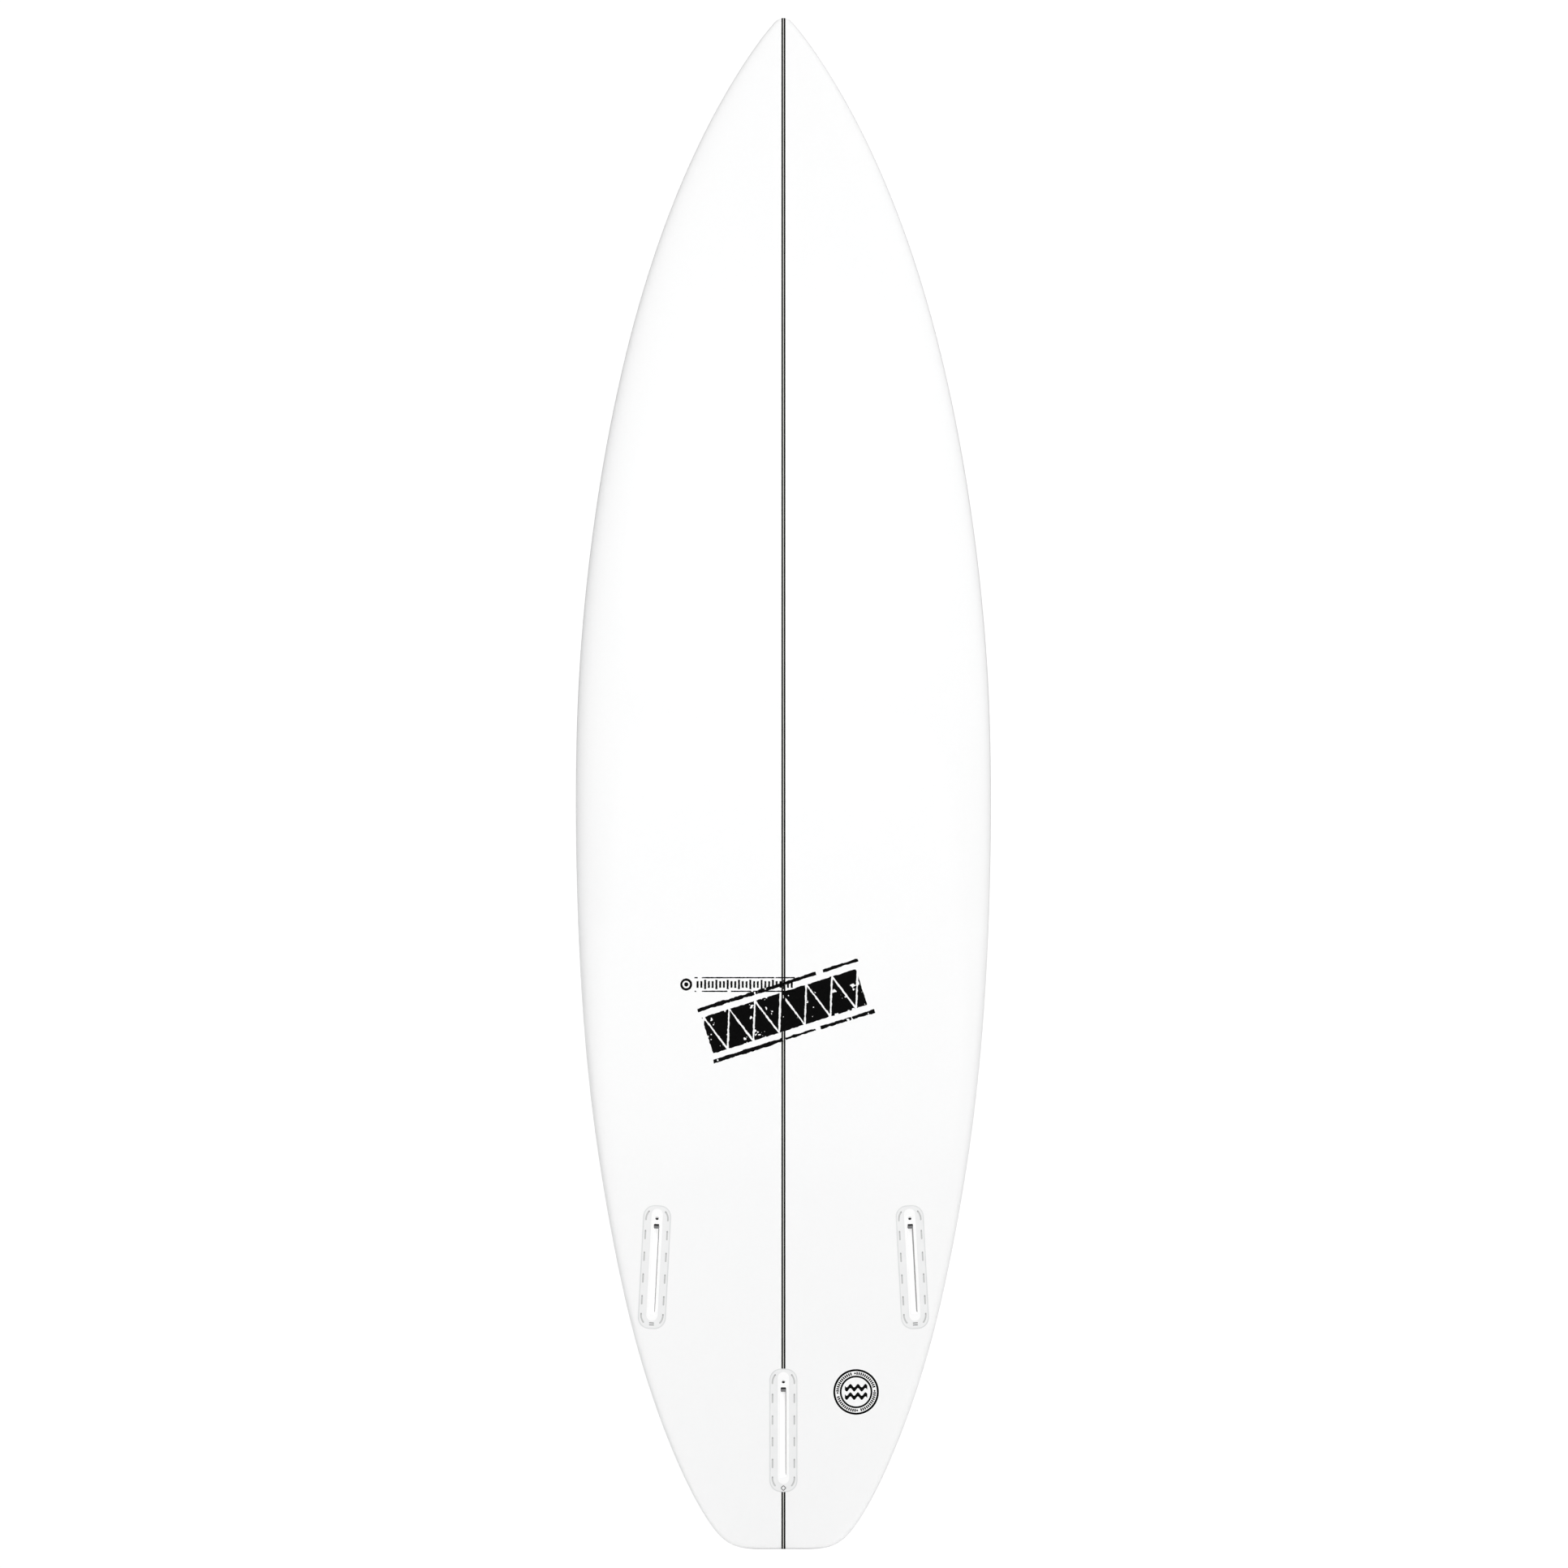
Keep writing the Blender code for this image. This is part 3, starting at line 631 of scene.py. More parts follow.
def wood_look(name):
    look = Look(name, **{"Coat Weight": 0.3, "Coat Roughness": 0.12})
    grain = look.noise(40.0, 6.0, 0.65, stretch=(14.0, 14.0, 0.8))
    pores = look.noise(420.0, 2.0, stretch=(2.0, 2.0, 0.12))
    tone = look.ramp(grain, (0.25, (0.60, 0.585, 0.555)), (0.75, (0.74, 0.725, 0.695)))
    look.colour(look.blend(0.2, tone, look.ramp(pores, (0.35, 0.40), (0.65, 0.75))))
    look.rough(grain, 0.35, 0.5)
    look.bump((grain, 0.1, 0.0001))
    return look.made


def glue_look(name):
    look = Look(name, **DULL)
    streaks = look.noise(90.0, 4.0, 0.6, stretch=(1.0, 1.0, 0.15))
    look.colour(look.ramp(streaks, (0.2, 0.0006), (0.8, 0.004)))
    look.rough(streaks, 0.3, 0.45)
    look.bump((streaks, 0.1, 0.00004))
    return look.made


def ink_look(name):
    look = Look(name, **DULL)
    worn = look.noise(420.0, 4.0, 0.6)
    look.colour(look.ramp(worn, (0.25, 0.0004), (0.85, 0.003)))
    look.rough(look.noise(60.0), 0.35, 0.5)
    look.bump((worn, 0.05, 0.00002))
    return look.made


def foam_look(name):
    look = Look(name)
    cells = look.node("ShaderNodeTexVoronoi", {"Scale": 900.0, "Vector": look.place}).outputs["Distance"]
    look.colour(look.ramp(look.noise(30.0, 3.0), (0.3, (0.86, 0.85, 0.80)), (0.7, (0.93, 0.92, 0.88))))
    look.rough(cells, 0.75, 0.95)
    look.bump((cells, 0.3, 0.0002))
    return look.made


GLASS = glass_look("white_resin_over_foam")
DECK_LOOK = glass_look("white_deck_resin")
WOOD = wood_look("stringer_wood_grain")
GLUE = glue_look("dark_glue_streaks")
INK = ink_look("black_tissue_print")
FOAM = foam_look("foam_cells")
BOX_WHITE = plastic_look("white_box_plastic", (0.935, 0.935, 0.935), (0.955, 0.955, 0.952))
# The slot's walls glow: painted light that keeps the deep slot as white as the spine
PAINTED_GLOW = {"Emission Strength": 0.38}
SLOT_WALL_PAINTED_GLOW = plastic_look("slot_wall_painted_glow", (0.955, 0.955, 0.955), (0.975, 0.975, 0.972), **PAINTED_GLOW)
# Near black: painted deep shade for the well ahead of the roller and the screw hole's core
PAINTED_DEEP_SHADE = plastic_look("slot_front_painted_shade", 0.0015, 0.004, **DULL)
# Dark grey: painted half shade on the slot's leaning right wall
PAINTED_HALF_SHADE = plastic_look("slot_wall_painted_half_shade", 0.12, 0.17)
# Things under the resin: calm grain, and as rough as the glass round them
BURIED = {"rough": (0.29, 0.38), "grain": 200.0}
POURED = {"rough": (0.29, 0.36), "grain": 200.0}
PATCH = plastic_look("flange_under_resin", (0.812, 0.816, 0.818), (0.838, 0.841, 0.841), **BURIED)
# Darker grey at the flange's edge: painted shade of the small step there
FLANGE_EDGE_PAINTED_SHADE = plastic_look("flange_edge_painted_shade", (0.68, 0.685, 0.69), (0.74, 0.745, 0.745), **BURIED)
# Resin in the flange's holes; its grey is also painted shade of the holes' depth
RESIN_AND_PAINTED_SHADE = plastic_look("resin_in_the_holes_and_painted_shade", 0.50, 0.56, **POURED)
# Darker resin at the holes' front ends: painted shade of the holes' depth
HOLE_END_PAINTED_SHADE = plastic_look("painted_shade_at_the_hole_ends", 0.36, 0.42, **POURED)
MOULDED = plastic_look("moulded_mark", 0.16, 0.22, **BURIED)
FILLED = {"rough": (0.35, 0.55), "grain": 1400.0}
ROLLER = plastic_look("glass_filled_roller", (0.16, 0.16, 0.165), (0.26, 0.26, 0.265), **FILLED)
CUP_WHITE = plastic_look("white_cup_plastic", (0.87, 0.87, 0.87), (0.92, 0.92, 0.915))
BAR_METAL = metal_look("drawn_titanium_bar", 0.55, (0.1, 1.0, 1.0))
PIN_METAL = metal_look("polished_steel_pin", 0.68, (0.1, 1.0, 1.0))


# ---- the board


def glass_skin(skin, name, side, thick, finish):
    """A closed glass skin over one side of the board, ending on the rail line."""
    inner = skin.points - skin.normals * thick
    used = sorted({i for face in skin.faces[side] for i in face})
    new = {old: k for k, old in enumerate(used)}
    faces = [tuple(new[i] for i in face) for face in skin.faces[side]]
    count = len(used)
    faces += [tuple(i + count for i in face[::-1]) for face in faces]
    for a, b in zip(skin.rim, skin.rim[1:] + skin.rim[:1]):
        faces.append((new[a], new[b], new[b] + count, new[a] + count))
    points = np.concatenate([skin.points[used], inner[used]])
    return make_object(name, points, faces, finish)


def core_slice(skin, name, low, high, finish):
    """What lies between two planes across X, of the board's full depth and a little more."""
    work = bmesh.new()
    corners = [work.verts.new(p) for p in skin.points + skin.normals * STRINGER_LIFT]
    for face in skin.faces["bottom"] + skin.faces["deck"]:
        if min(abs(skin.points[list(face), 0])) < 10 * GLUE_EDGE:
            work.faces.new([corners[i] for i in face])
    loose = [v for v in work.verts if not v.link_faces]
    bmesh.ops.delete(work, geom=loose, context="VERTS")
    for plane, beyond in ((low, -1), (high, 1)):
        everything = work.verts[:] + work.edges[:] + work.faces[:]
        bmesh.ops.bisect_plane(
            work,
            geom=everything,
            dist=TOUCH,
            plane_co=(plane, 0, 0),
            plane_no=(beyond, 0, 0),
            clear_outer=True,
        )
    border = [edge for edge in work.edges if edge.is_boundary]
    bmesh.ops.holes_fill(work, edges=border, sides=0)
    bmesh.ops.recalc_face_normals(work, faces=work.faces)
    mesh = bpy.data.meshes.new(name)
    work.to_mesh(mesh)
    work.free()
    return link_mesh(name, mesh, finish)


def board(seats, cup_seat):
    """Both skins, the stringer and its glue lines, cut open for the fin boxes and the leash cup."""
    skin = Skin()

    def pockets(names, grow):
        cutters = []
        for name in names:
            outline = whole(body_side(grow))
            cutters.append(prism("pocket_" + name, outline, -BODY_DEPTH - grow, CUT_ABOVE, seats[name]))
        return cutters

    def cup_pocket(grow):
        ring = ellipse(CUP_RADIUS + grow, CUP_RADIUS + grow, 96)
        return prism("cup_pocket", ring, -CUP_DEPTH - grow, CUT_ABOVE, cup_seat)

    bottom = glass_skin(skin, "bottom_glass", "bottom", BOTTOM_GLASS, GLASS)
    carve(bottom, pockets(seats, SKIN_CUT))
    deck = glass_skin(skin, "deck_glass", "deck", DECK_GLASS, DECK_LOOK)
    carve(deck, [cup_pocket(SKIN_CUT)])
    pieces = [(bottom, "bottom_laminate", "glass_skin"), (deck, "deck_laminate", "glass_skin")]
    for name, low, high, finish, slot in (
        ("stringer", -WOOD_EDGE, WOOD_EDGE, WOOD, "wood"),
        ("glue_line_left", -GLUE_EDGE, -WOOD_EDGE, GLUE, "dark_glue"),
        ("glue_line_right", WOOD_EDGE, GLUE_EDGE, GLUE, "dark_glue"),
    ):
        made = core_slice(skin, name + "_fine", low, high, finish)
        carve(made, pockets(["centre"], GAP) + [cup_pocket(GAP)])
        pieces.append((made, name, slot))
    for made, node, slot in pieces:
        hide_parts(node)
        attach(made, "board")


# ---- fin boxes


def roller_along():
    return SLOT_SHIFT + SLOT[1] / 2 - ROLLER_RADIUS - TRAVEL - GAP


def box_solid(name, seat):
    """A fin box without its holes: the spine is flush with the bottom and the flange is buried."""
    under = -FLANGE_TOP - FLANGE_THICK
    body, flange = whole(body_side()), whole(flange_side())
    count = len(body)
    points = draped(seat, body, SPINE_LIFT)
    for outline, height in (
        (body, -FLANGE_TOP),
        (flange, -FLANGE_TOP),
        (flange, under),
        (body, under),
        (body, -BODY_DEPTH),
    ):
        points += [seat @ Vector((x, y, height)) for x, y in outline]
    faces = walls(6, count) + ladder(0, count // 2) + ladder(5 * count, count // 2)
    # The second and third finishes are painted deep shade and a painted glow, given to faces in
    # finish_holes
    return make_object(name, points, faces, BOX_WHITE, PAINTED_DEEP_SHADE, SLOT_WALL_PAINTED_GLOW)


def box_body(name, seat):
    """A fin box with its slot, the bar's rest and the screw hole."""
    made = box_solid(name, seat)
    front = SLOT_SHIFT + SLOT[1] / 2
    slot = whole(side_points(SLOT, SLOT_CORNER, SLOT_SHIFT, steps=5, straight=1))
    middle, half, reach = roller_along(), BAR_RADIUS + GAP, BAR_LENGTH / 2 + GAP
    rest = rectangle(-reach, reach, middle - half - REST_SPARE, middle + half + TRAVEL + REST_SPARE)
    well = rectangle(-WELL[0] / 2, WELL[0] / 2, front - WELL[1], front - SLOT_CORNER / 2)
    slant = seat @ Matrix.Translation((0, SCREW_ALONG, 0)) @ Matrix.Rotation(-SCREW_SLANT, 4, "X")
    mouth = ellipse(SCREW_RADIUS, SCREW_RADIUS * SCREW_FLAT)
    core = ellipse(SCREW_RADIUS * SCREW_CORE, SCREW_RADIUS * SCREW_FLAT * SCREW_CORE)
    cutters = [
        prism("slot", slot, -SLOT_DEPTH, SLOT_CUT_ABOVE, seat),
        prism("well", well, -SLOT_DEPTH - WELL[2], -SLOT_DEPTH / 2, seat),
        prism("rest", rest, -ROLLER_DEPTH - half, -ROLLER_DEPTH + half, seat),
        prism("screw_mouth", mouth, SCREW_STEP, SCREW_CUT_ABOVE, slant),
        prism("screw_core", core, -SCREW_HOLE_DEPTH, 0.0, slant),
    ]
    carve(made, cutters)
    finish_holes(made, seat, slant)
    return made


def finish_holes(made, seat, slant):
    """Paints deep shade on the well and the screw's core, and gives the slot's walls a painted glow of
    light.
    """
    # Slot 1 is painted deep shade, slot 2 a painted glow of light
    dark, glowing = 1, 2
    back, screw = seat.inverted(), slant.inverted()
    front, rear = SLOT_SHIFT + SLOT[1] / 2, SLOT_SHIFT - SLOT[1] / 2
    for face in made.data.polygons:
        spot, bored = back @ face.center, screw @ face.center
        if spot.z > -GAP or abs(spot.x) > SLOT[0] / 2 + 10 * SLACK:
            continue
        if math.hypot(bored.x, bored.y) < SCREW_RADIUS and bored.z < SCREW_STEP + SLACK / 10:
            face.material_index = dark
        elif rear - SLACK < spot.y < front + SLACK and spot.z > -SLOT_DEPTH - 10 * SLACK:
            face.material_index = dark if spot.y > front - WELL[1] - SLACK else glowing


def leaning_wall(name, seat):
    """The slot's right wall behind the roller, which leans in; its dark grey is painted half shade."""
    edge = SLOT[0] / 2
    sunk = edge + WALL_SINK
    section = [(sunk, -SEAT_SINK), (sunk, -SLOT_DEPTH), (edge - WALL_LEAN[name], -SLOT_DEPTH)]
    start = roller_along() - ROLLER_RADIUS - 2 * GAP
    end = SLOT_SHIFT - SLOT[1] / 2 + SLOT_CORNER
    made = prism("slot_wall_" + name, section, -start, -end, seat @ Matrix.Rotation(math.pi / 2, 4, "X"))
    made.data.materials.append(PAINTED_HALF_SHADE)
    return made


def ring_of(name, rings, finish):
    """A closed solid with a section that runs once round."""
    points = [p for ring in rings for p in ring]
    return make_object(name, points, walls(len(rings), len(rings[0]), closed=True), finish)


def flange_patch(name, seat):
    """The glass over the flange, a thin ring round the spine that shows the flange's plastic."""
    inner, outer = np.array(whole(body_side(PATCH_GAP))), np.array(whole(flange_side()))
    rings = []
    fall, power = PATCH_FALL
    for share in np.linspace(0, 1, PATCH_RINGS):
        rings.append(draped(seat, inner + (outer - inner) * share, PATCH_LIFT * (1 - fall * share**power)))
    rings += [draped(seat, outer, -PATCH_BURY), draped(seat, inner, -PATCH_BURY)]
    return ring_of(name, rings, PATCH)


def flange_edge(name, seat):
    """The narrow raised line where the flange ends under the glass; its darker grey is painted shade of the
    step.
    """
    rings = [draped(seat, whole(flange_side(grow)), lift) for grow, lift in EDGE_PROFILE]
    return ring_of(name, rings, FLANGE_EDGE_PAINTED_SHADE)


def stroke(seat, path, width, lift):
    """A flat mark with round ends along a path in a seat's frame: its points and faces."""
    path = np.array(path)
    radius = width / 2
    step = np.linalg.norm(np.diff(path, axis=0), axis=1)
    along = np.concatenate([[0], np.cumsum(step)])
    total = along[-1]
    turns = np.linspace(0, math.pi / 2, STROKE_END_STEPS)
    ends = radius * (1 - np.cos(turns))
    middle = np.linspace(radius, total - radius, STROKE_MIDDLE_STEPS)[1:-1]
    stations = np.concatenate([ends, middle, total - ends[::-1]])
    near_start = np.maximum(radius - stations, 0)
    near_end = np.maximum(stations - total + radius, 0)
    half = np.sqrt(np.maximum(radius**2 - np.maximum(near_start, near_end) ** 2, 0))
    half = np.maximum(half, radius * STROKE_TIP)
    x, y = np.interp(stations, along, path[:, 0]), np.interp(stations, along, path[:, 1])
    tangent = np.stack([np.gradient(x), np.gradient(y)], -1)
    tangent /= np.linalg.norm(tangent, axis=1)[:, None]
    normal = np.stack([tangent[:, 1], -tangent[:, 0]], -1)
    right = np.stack([x, y], -1) + normal * half[:, None]
    left = np.stack([x, y], -1) - normal * half[:, None]
    outline = [tuple(p) for p in right] + [tuple(p) for p in left[::-1]]
    points = draped(seat, outline, lift) + draped(seat, outline, lift - MARK_BURY)
    count = len(outline)
    faces = walls(2, count) + ladder(0, count // 2) + ladder(count, count // 2)
    return points, faces


def joined_strokes(name, seat, paths, width, lift, finish):
    """Several strokes as one object."""
    points, faces = [], []
    for path in paths:
        more, ring = stroke(seat, path, width, lift)
        faces += [tuple(i + len(points) for i in face) for face in ring]
        points += more
    return make_object(name, points, faces, finish)


def hole_paths():
    """The middle lines of the flange's resin holes, inside their round ends."""
    paths = []
    for side in (-1, 1):
        for row in range(HOLE_ROWS):
            across = side * HOLE_ACROSS
            middle = ((HOLE_ROWS - 1) / 2 - row) * HOLE_PITCH + HOLE_SHIFT
            paths.append([(across, middle + HOLE[1] / 2), (across, middle - HOLE[1] / 2)])
    start, end = HOLE_ARC_TURNS[0] - HOLE_ARC_SPARE, HOLE_ARC_TURNS[1] + HOLE_ARC_SPARE
    turns = np.linspace(end, start, HOLE_ARC_STEPS)
    x, y = HOLE_ARC_MIDDLE
    for sx, sy in ((1, 1), (-1, 1), (-1, -1), (1, -1)):
        bend = [(x + HOLE_ARC_RADIUS * math.cos(a), y + HOLE_ARC_RADIUS * math.sin(a)) for a in turns]
        bend = [(sx * across, sy * along) for across, along in bend]
        paths.append(bend if sy > 0 else bend[::-1])
    return paths


def start_of(path, length):
    """The first stretch of a path, cut to a length."""
    path = np.array(path)
    along = np.concatenate([[0], np.cumsum(np.linalg.norm(np.diff(path, axis=0), axis=1))])
    return [(np.interp(d, along, path[:, 0]), np.interp(d, along, path[:, 1])) for d in (0.0, length)]


def rear_marks(name):
    """Plain marks behind the spine: a diamond on the centre box, two bars on the others."""
    if name == "centre":
        ring = [(0, MARK_HALF), (MARK_HALF, 0), (0, -MARK_HALF), (-MARK_HALF, 0), (0, MARK_HALF)]
        ring = [(x, y + MARK_ALONG) for x, y in ring]
        return [[a, b] for a, b in zip(ring, ring[1:])]
    return [[(-MARK_HALF, y), (MARK_HALF, y)] for y in (MARK_ALONG + MARK_PITCH, MARK_ALONG)]


def fin_boxes(seats):
    paths = hole_paths()
    narrower, length = HOLE_END
    deep = [start_of(path, length) for path in paths]
    for name, seat in seats.items():
        body = box_body("fin_box_" + name + "_fine", seat)
        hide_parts("fin_box_" + name)
        marks = rear_marks(name)
        parts = [
            body,
            leaning_wall(name, seat),
            flange_patch("flange_glass_" + name, seat),
            flange_edge("flange_edge_" + name, seat),
            joined_strokes("resin_holes_" + name, seat, paths, HOLE[0], MARK_LIFT, RESIN_AND_PAINTED_SHADE),
            joined_strokes("painted_shade_hole_ends_" + name, seat, deep, HOLE[0] * narrower, END_LIFT, HOLE_END_PAINTED_SHADE),
            joined_strokes("rear_mark_" + name, seat, marks, MARK_THICK, MARK_LIFT, MOULDED),
        ]
        for made in parts:
            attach(made, "board")
        retainer(name, seat)


def retainer(name, seat):
    """The sprung bar and its roller at the front of the slot."""
    place = seat @ Matrix.Translation((0, roller_along(), -ROLLER_DEPTH)) @ LYING
    half, soft, chamfer = ROLLER_LENGTH / 2, ROLLER_SOFT, ROLLER_CHAMFER
    bore, top, depth = BAR_RADIUS + GAP, ROLLER_RADIUS, GROOVE[2]
    profile = [(bore, chamfer - half), (bore, half - chamfer), (bore + chamfer, half)]
    profile += arc((ROLLER_RADIUS - soft, half - soft), soft, 90, 0)
    for spot in (2 * GROOVE_PITCH, GROOVE_PITCH, 0.0, -GROOVE_PITCH, -2 * GROOVE_PITCH):
        profile += [(top, spot + GROOVE[0]), (top - depth, spot + GROOVE[1])]
        profile += [(top - depth, spot - GROOVE[1]), (top, spot - GROOVE[0])]
    profile += arc((ROLLER_RADIUS - soft, soft - half), soft, 0, -90)
    profile += [(bore + chamfer, -half)]
    roller = turned("roller_" + name + "_fine", profile, place, ROLLER, 64)
    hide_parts("retainer_roller_" + name)
    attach(roller, "roller_" + name)
    bar = rod("bar_" + name + "_fine", BAR_LENGTH, BAR_RADIUS, BAR_SOFT, place, BAR_METAL, 48)
    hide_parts("retainer_bar_" + name)
    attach(bar, "bar_" + name)


# ---- leash plug


def leash_plug(seat):
    """A cup let into the deck, with a steel pin across it."""
    floor_at, lip, rim = CUP_FLOOR - CUP_DEPTH, CUP_LIP, CUP_LIP / 2
    profile = [(HAIR, floor_at), (CUP_BORE - CUP_ROUND, floor_at)]
    profile += arc((CUP_BORE - CUP_ROUND, floor_at + CUP_ROUND), CUP_ROUND, -90, 0)
    profile += arc((CUP_BORE + lip, CUP_RISE - lip), lip, 180, 90)
    profile += arc((CUP_RADIUS - rim, CUP_RISE - rim), rim, 90, 0)
    profile += [(CUP_RADIUS, -CUP_DEPTH), (HAIR, -CUP_DEPTH)]
    cup = turned("leash_cup_fine", profile, seat, CUP_WHITE, 128)
    across = seat @ Matrix.Translation((0, 0, -PIN_DEPTH)) @ LYING
    hole = ellipse(PIN_RADIUS + GAP / 2, PIN_RADIUS + GAP / 2)
    carve(cup, [prism("pin_hole", hole, -1.5 * CUP_RADIUS, 1.5 * CUP_RADIUS, across)])
    pin = rod("leash_pin_fine", PIN_LENGTH, PIN_RADIUS, PIN_SOFT, across, PIN_METAL, 64)
    for made, node, slot in ((cup, "leash_cup", "cup_plastic"), (pin, "leash_pin", "pin_metal")):
        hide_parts(node)
        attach(made, "board")


# ---- prints

MM = 0.001
# In millimetres, on the print's own axes
STAMP_BAND = (-98.8, 94.4, 22.6)  # its two ends and half its height
STAMP_PITCH = 32.2
STAMP_GAP = 2.0
STAMP_WEAR = 1.02
STAMP_STEEP = 5.0
STAMP_BAR_OFF = 31.9
STAMP_BARS = (  # which side, start, end, thickness
    (1, -101.0, -30.0, 4.5),
    (1, -28.5, 47.0, 4.0),
    (1, 56.0, 100.0, 3.2),
    (-1, -101.0, -14.0, 4.3),
    (-1, -11.0, 27.0, 3.4),
    (-1, 33.0, 100.5, 4.4),
)
STAMP_DRIFT = (0.5, 11, 40.0)  # lumps as amount, seed and width, here and below
STAMP_UNEVEN = (0.6, 12, 7.0)
STAMP_ROUGH = ((0.40, 3, 3.1), (0.25, 4, 1.3))
STAMP_WORN = ((1.0, 7, 5.5), (0.6, 8, 2.0))
STRIP_RING = (-60.8, 5.8, 2.8)  # middle, radius, thickness
STRIP_DOT = 2.6
STRIP_ROW = 9.0  # the middle of the lines and ticks
STRIP_LINE = (8.1, 0.75, 60.0)  # off the middle, half its thickness, half its length
STRIP_PITCH = 4.5
STRIP_TICK = (1.2, 5.6, 4.0)  # half its width, half its height if it is tall and if it is short
STRIP_TICKS = 58.0  # half the row
STRIP_WORN = (2.0, 33, 9.0)
STRIP_KEPT = 1.3
STRIP_ROUGH = (0.18, 31, 1.6)
BADGE_RINGS = ((27.2, 2.4), (19.5, 2.2))  # outer radius, thickness
BADGE_TICKS = 56
BADGE_TICK = (22.15, 0.82, 1.7)  # radius of the row, half a tick's width, half its length
BADGE_DOT = 1.1
BADGE_GROUP = (14, 2)  # of so many ticks, so many make way for a dot
BADGE_WAVE = (2.0, 9.0, 2.5, 13.4)  # height, pitch, half its thickness, half its length
BADGE_WAVES = (5.0, -5.0)
BADGE_WAVE_SLANT = 0.75  # a wave's thickness square to its line, as a share of the upright
# Half the grid's width and height, and its cell
STAMP_GRID = (106.0, 36.0, 0.62)
STRIP_GRID = (72.0, 10.5, 0.36)
BADGE_GRID = (29.0, 29.0, 0.30)
LUMP_TABLE = 64
LUMP_SHIFT = 1000.0
FAR = 50.0  # apart enough for two rows of lumps to differ


def lumps(seed, u, v, size):
    """Smooth noise from -1 to 1 over flat coordinates; size is a lump's width."""
    table = np.random.default_rng(seed).uniform(-1, 1, (LUMP_TABLE, LUMP_TABLE))
    x, y = u / size + LUMP_SHIFT, v / size + LUMP_SHIFT
    i, j = np.floor(x).astype(int), np.floor(y).astype(int)
    fx, fy = x - i, y - j
    fx, fy = fx * fx * (3 - 2 * fx), fy * fy * (3 - 2 * fy)
    corners = [table[(i + a) % LUMP_TABLE, (j + b) % LUMP_TABLE] for a in (0, 1) for b in (0, 1)]
    low = corners[0] * (1 - fy) + corners[1] * fy
    high = corners[2] * (1 - fy) + corners[3] * fy
    return low * (1 - fx) + high * fx


def layered(u, v, *layers):
    """A sum of lumps."""
    return sum(amount * lumps(seed, u, v, size) for amount, seed, size in layers)


def block_field(u, v, half_u, half_v):
    """How far a point is inside a rectangle."""
    return np.minimum(half_u - abs(u), half_v - abs(v))


def stamp_field(u, v):
    """A worn stamp in millimetres: a band of triangles between two rough bars. Inside is positive."""
    left, right, high = STAMP_BAND
    wave = abs((u / STAMP_PITCH) % 1.0 * 2 - 1) * 2 - 1
    slope = 4 * high / STAMP_PITCH
    off = abs(v - wave * high) / math.sqrt(1 + slope**2)
    band = block_field(u - (left + right) / 2, v, (right - left) / 2, high)
    field = np.minimum(band, off - STAMP_GAP / 2)
    for side, start, end, thick in STAMP_BARS:
        level = 0 * v + FAR * side
        height = v - side * STAMP_BAR_OFF - layered(u, level, STAMP_DRIFT)
        half = thick / 2 + layered(u, level, STAMP_UNEVEN)
        bar = block_field(u - (start + end) / 2, height, (end - start) / 2, half)
        field = np.maximum(field, bar)
    worn = STAMP_STEEP * (STAMP_WEAR - layered(u, v, *STAMP_WORN))
    return np.minimum(field + layered(u, v, *STAMP_ROUGH), worn)


def strip_field(u, v):
    """A thin worn strip in millimetres: a ring, then a row of ticks between two fine lines."""
    middle, radius, thick = STRIP_RING
    away = np.hypot(u - middle, v)
    ring = np.maximum(thick / 2 - abs(away - radius), STRIP_DOT - away)
    off, half, reach = STRIP_LINE
    lines = np.minimum(half - abs(abs(v) - off), reach - abs(u - STRIP_ROW))
    lines = np.minimum(lines, layered(u, np.sign(v) * FAR, STRIP_WORN) + STRIP_KEPT)
    number = np.floor(u / STRIP_PITCH)
    half, tall, short = STRIP_TICK
    tall = np.where(number % 3 == 0, tall, short)
    ticks = np.minimum(half - abs((u / STRIP_PITCH - number - 0.5) * STRIP_PITCH), tall - abs(v))
    ticks = np.minimum(ticks, STRIP_TICKS - abs(u - STRIP_ROW))
    return np.maximum(ring, np.maximum(lines, ticks)) + layered(u, v, STRIP_ROUGH)


def badge_field(u, v):
    """A round badge in millimetres: two rings, ticks between them, and two waves inside."""
    radius, turn = np.hypot(u, v), np.arctan2(v, u)
    field = np.maximum(*(thick / 2 - abs(radius - outer + thick / 2) for outer, thick in BADGE_RINGS))
    share = turn / (2 * math.pi) * BADGE_TICKS
    number = np.floor(share)
    aside = (share - number - 0.5) * 2 * math.pi * radius / BADGE_TICKS
    row, half, reach = BADGE_TICK
    ticks = np.minimum(half - abs(aside), reach - abs(radius - row))
    dots = np.where(number % 2 == 0, BADGE_DOT - np.hypot(aside, radius - row), -1.0)
    group, odd = BADGE_GROUP
    field = np.maximum(field, np.where(number % group < odd, dots, ticks))
    high, pitch, half, reach = BADGE_WAVE
    for middle in BADGE_WAVES:
        line = middle + high * np.sin(2 * math.pi * u / pitch)
        wave = np.minimum((half - abs(v - line)) * BADGE_WAVE_SLANT, reach - abs(u))
        field = np.maximum(field, wave)
    return field


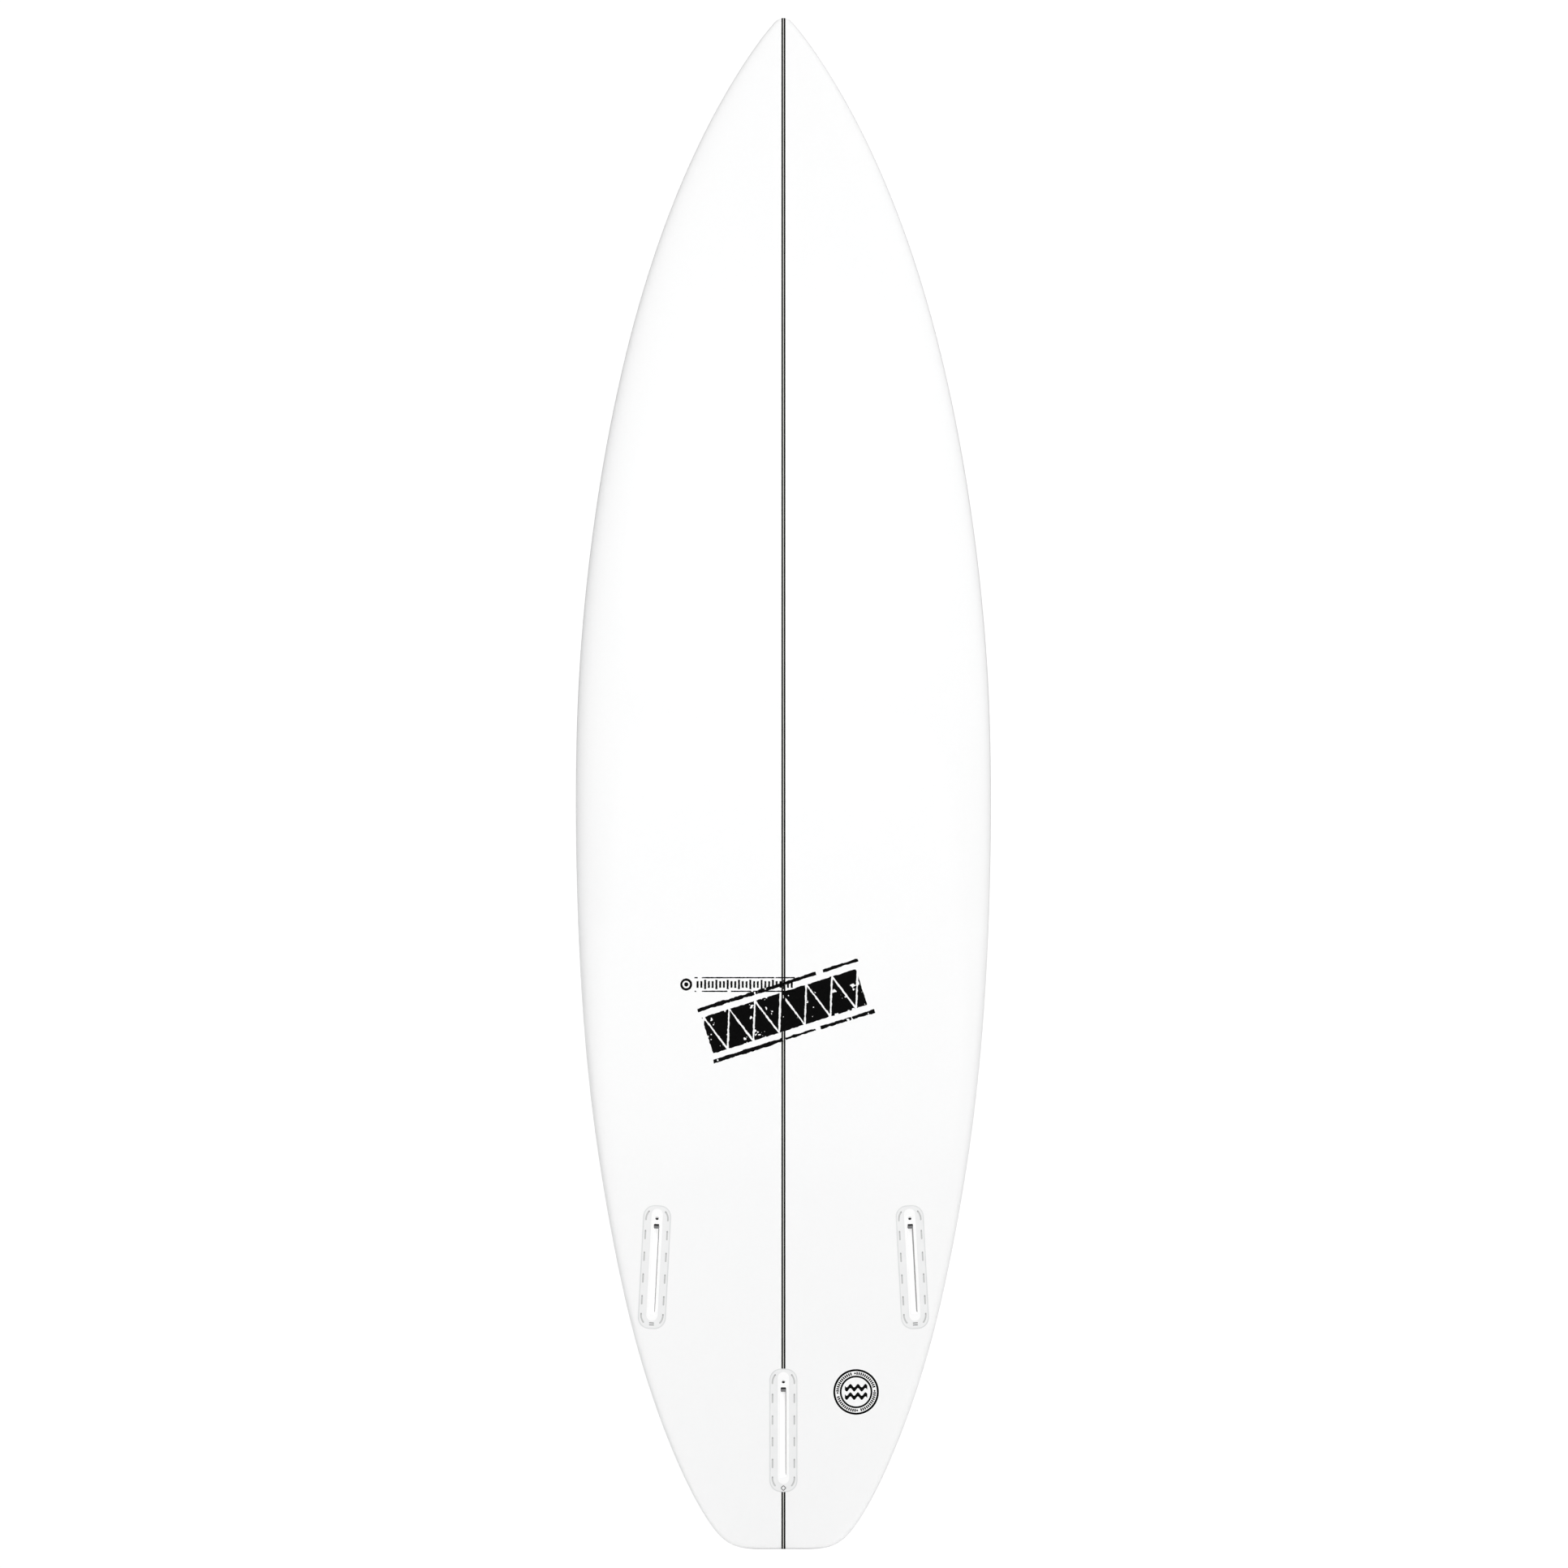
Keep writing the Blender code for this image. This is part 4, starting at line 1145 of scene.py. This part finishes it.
def print_object(name, field, grid, middle, tilt, node=None):
    """A thin black print on the bottom, where the field is positive, with smooth cut edges."""
    half_u, half_v, cell = grid
    us = np.arange(-half_u, half_u + cell, cell)
    vs = np.arange(-half_v, half_v + cell, cell)
    grid_u, grid_v = np.meshgrid(us, vs, indexing="ij")
    values = field(grid_u, grid_v)
    values[0], values[-1], values[:, 0], values[:, -1] = -1, -1, -1, -1
    flat, index, faces = [], {}, []

    def corner(i, j):
        return (i, j, i, j), (us[i], vs[j])

    def crossing(a, b):
        low, high = sorted((a, b))
        share = values[low] / (values[low] - values[high])
        (u, v), (end_u, end_v) = ((us[i], vs[j]) for i, j in (low, high))
        return (*low, *high), (u + (end_u - u) * share, v + (end_v - v) * share)

    def number(key, spot):
        if key not in index:
            index[key] = len(flat)
            flat.append(spot)
        return index[key]

    inside = values > 0
    active = inside[:-1, :-1] | inside[1:, :-1] | inside[1:, 1:] | inside[:-1, 1:]
    for i, j in zip(*np.nonzero(active)):
        ring = [(i, j), (i + 1, j), (i + 1, j + 1), (i, j + 1)]
        face = []
        for a, b in zip(ring, ring[1:] + ring[:1]):
            if inside[a]:
                face.append(number(*corner(*a)))
            if inside[a] != inside[b]:
                face.append(number(*crossing(a, b)))
        if len(face) >= 3:
            faces.append(tuple(face))
    turn = Matrix.Rotation(tilt, 2)
    points = []
    for u, v in flat:
        spot = turn @ Vector((u, v)) * MM
        points.append(on_bottom(middle[0] + spot.x, middle[1] + spot.y, PRINT_LIFT))
    edges = dict.fromkeys(edge for face in faces for edge in zip(face, face[1:] + face[:1]))
    count = len(points)
    under = [(x, y + PRINT_THICK, z) for x, y, z in points]
    solid = faces + [tuple(i + count for i in face[::-1]) for face in faces]
    solid += [(a, b, b + count, a + count) for a, b in edges if (b, a) not in edges]
    made = make_object(name, points + under, solid, INK)
    if node:
        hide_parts(node)
    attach(made, "board")


def prints():
    print_object("stamp_print", stamp_field, STAMP_GRID, STAMP_MIDDLE, STAMP_TILT, "stamp_tissue")
    print_object("strip_print", strip_field, STRIP_GRID, STRIP_MIDDLE, 0.0)
    print_object("badge_print", badge_field, BADGE_GRID, BADGE_MIDDLE, 0.0, "badge_tissue")


# ---- camera, light and floor

CAMERA = (0.0007, -6.0, 0.9138)
CAMERA_REACH = 100.0
PICTURE_HIGH = 1.8731  # the height of the view at the board
FLOOR_HALF = 100.0
FLOOR_DROP = 0.0002
BACKGROUND = 1.05
SKY = 0.965  # the sky's strength to either side; it is twice that in front and fades to nothing behind
CARD_SHARE = 0.9  # how much of the sky a dark card on the left takes away, straight at the left
CARD_POWER = 4.0
# Soft round lights: where they hang, how wide they are, and watts
LIGHTS = {
    "front_low": ((0.0, -3.0, 0.6), 1.0, 2.6),
    "front_high": ((0.0, -1.6, 1.5), 0.8, 1.3),
    "back": ((0.0, 40.0, 19.5), 27.0, 10500.0),
}


def camera():
    data = bpy.data.cameras.new("camera")
    data.type = "ORTHO"
    data.ortho_scale = PICTURE_HIGH
    data.clip_end = CAMERA_REACH
    made = bpy.data.objects.new("camera", data)
    made.location = CAMERA
    made.rotation_euler = (math.pi / 2, 0, 0)
    bpy.context.scene.collection.objects.link(made)
    bpy.context.scene.camera = made


def area_light(name, place, size, power):
    data = bpy.data.lights.new(name, "AREA")
    data.shape = "DISK"
    data.size = size
    data.energy = power
    made = bpy.data.objects.new(name, data)
    made.location = place
    made.visible_camera = False
    aim = Vector((0, 0, LENGTH / 2)) - Vector(place)
    made.rotation_euler = aim.to_track_quat("-Z", "Y").to_euler()
    bpy.context.scene.collection.objects.link(made)


def world():
    """White behind the board, and a soft sky that is brightest in front, with a dark card at the left."""
    made = bpy.data.worlds.new("studio")
    made.use_nodes = True
    bpy.context.scene.world = made
    tree = made.node_tree
    tree.nodes.clear()

    def math_node(operation, *values):
        return add_node(tree, "ShaderNodeMath", dict(enumerate(values)), operation=operation).outputs[0]

    direction = add_node(tree, "ShaderNodeTexCoord").outputs["Generated"]
    parts = add_node(tree, "ShaderNodeSeparateXYZ", {0: direction}).outputs
    ahead = math_node("MULTIPLY_ADD", parts["Y"], -SKY, SKY)
    leftward = math_node("MAXIMUM", math_node("MULTIPLY", parts["X"], -1.0), 0.0)
    card = math_node("MULTIPLY_ADD", math_node("POWER", leftward, CARD_POWER), -CARD_SHARE, 1.0)
    sky = add_node(tree, "ShaderNodeBackground", {"Strength": math_node("MULTIPLY", ahead, card)})
    plain = add_node(tree, "ShaderNodeBackground", {"Strength": BACKGROUND, "Color": (1, 1, 1, 1)})
    seen = add_node(tree, "ShaderNodeLightPath").outputs["Is Camera Ray"]
    mixed = add_node(tree, "ShaderNodeMixShader", {"Fac": seen, 1: sky.outputs[0], 2: plain.outputs[0]})
    add_node(tree, "ShaderNodeOutputWorld", {"Surface": mixed.outputs[0]})


def floor():
    half = FLOOR_HALF
    points = [(-half, -half, 0), (half, -half, 0), (half, half, 0), (-half, half, 0)]
    look = Look("pale_floor", Roughness=0.8)
    look.colour(look.ramp(look.noise(1.5, 3.0), (0.3, 0.80), (0.7, 0.82)))
    made = make_object("floor", points, [(0, 1, 2, 3)], look.made)
    made.location.z = -FLOOR_DROP


SEATS = {
    "left": box_seat(-SIDE_BOX_ACROSS, SIDE_BOX_UP, SIDE_BOX_TOE),
    "right": box_seat(SIDE_BOX_ACROSS, SIDE_BOX_UP, SIDE_BOX_TOE),
    "centre": box_seat(0.0, CENTRE_BOX_UP, 0.0),
}
CUP_SEAT = plug_seat()

camera()
world()
for name, (place, size, power) in LIGHTS.items():
    area_light(name, place, size, power)
floor()
board(SEATS, CUP_SEAT)
fin_boxes(SEATS)
leash_plug(CUP_SEAT)
prints()
for node in ("foam_left", "foam_right"):
    mesh = frame["nodes"][node].data
    mesh.materials.clear()
    mesh.materials.append(FOAM)
bpy.context.scene.view_settings.view_transform = "Standard"
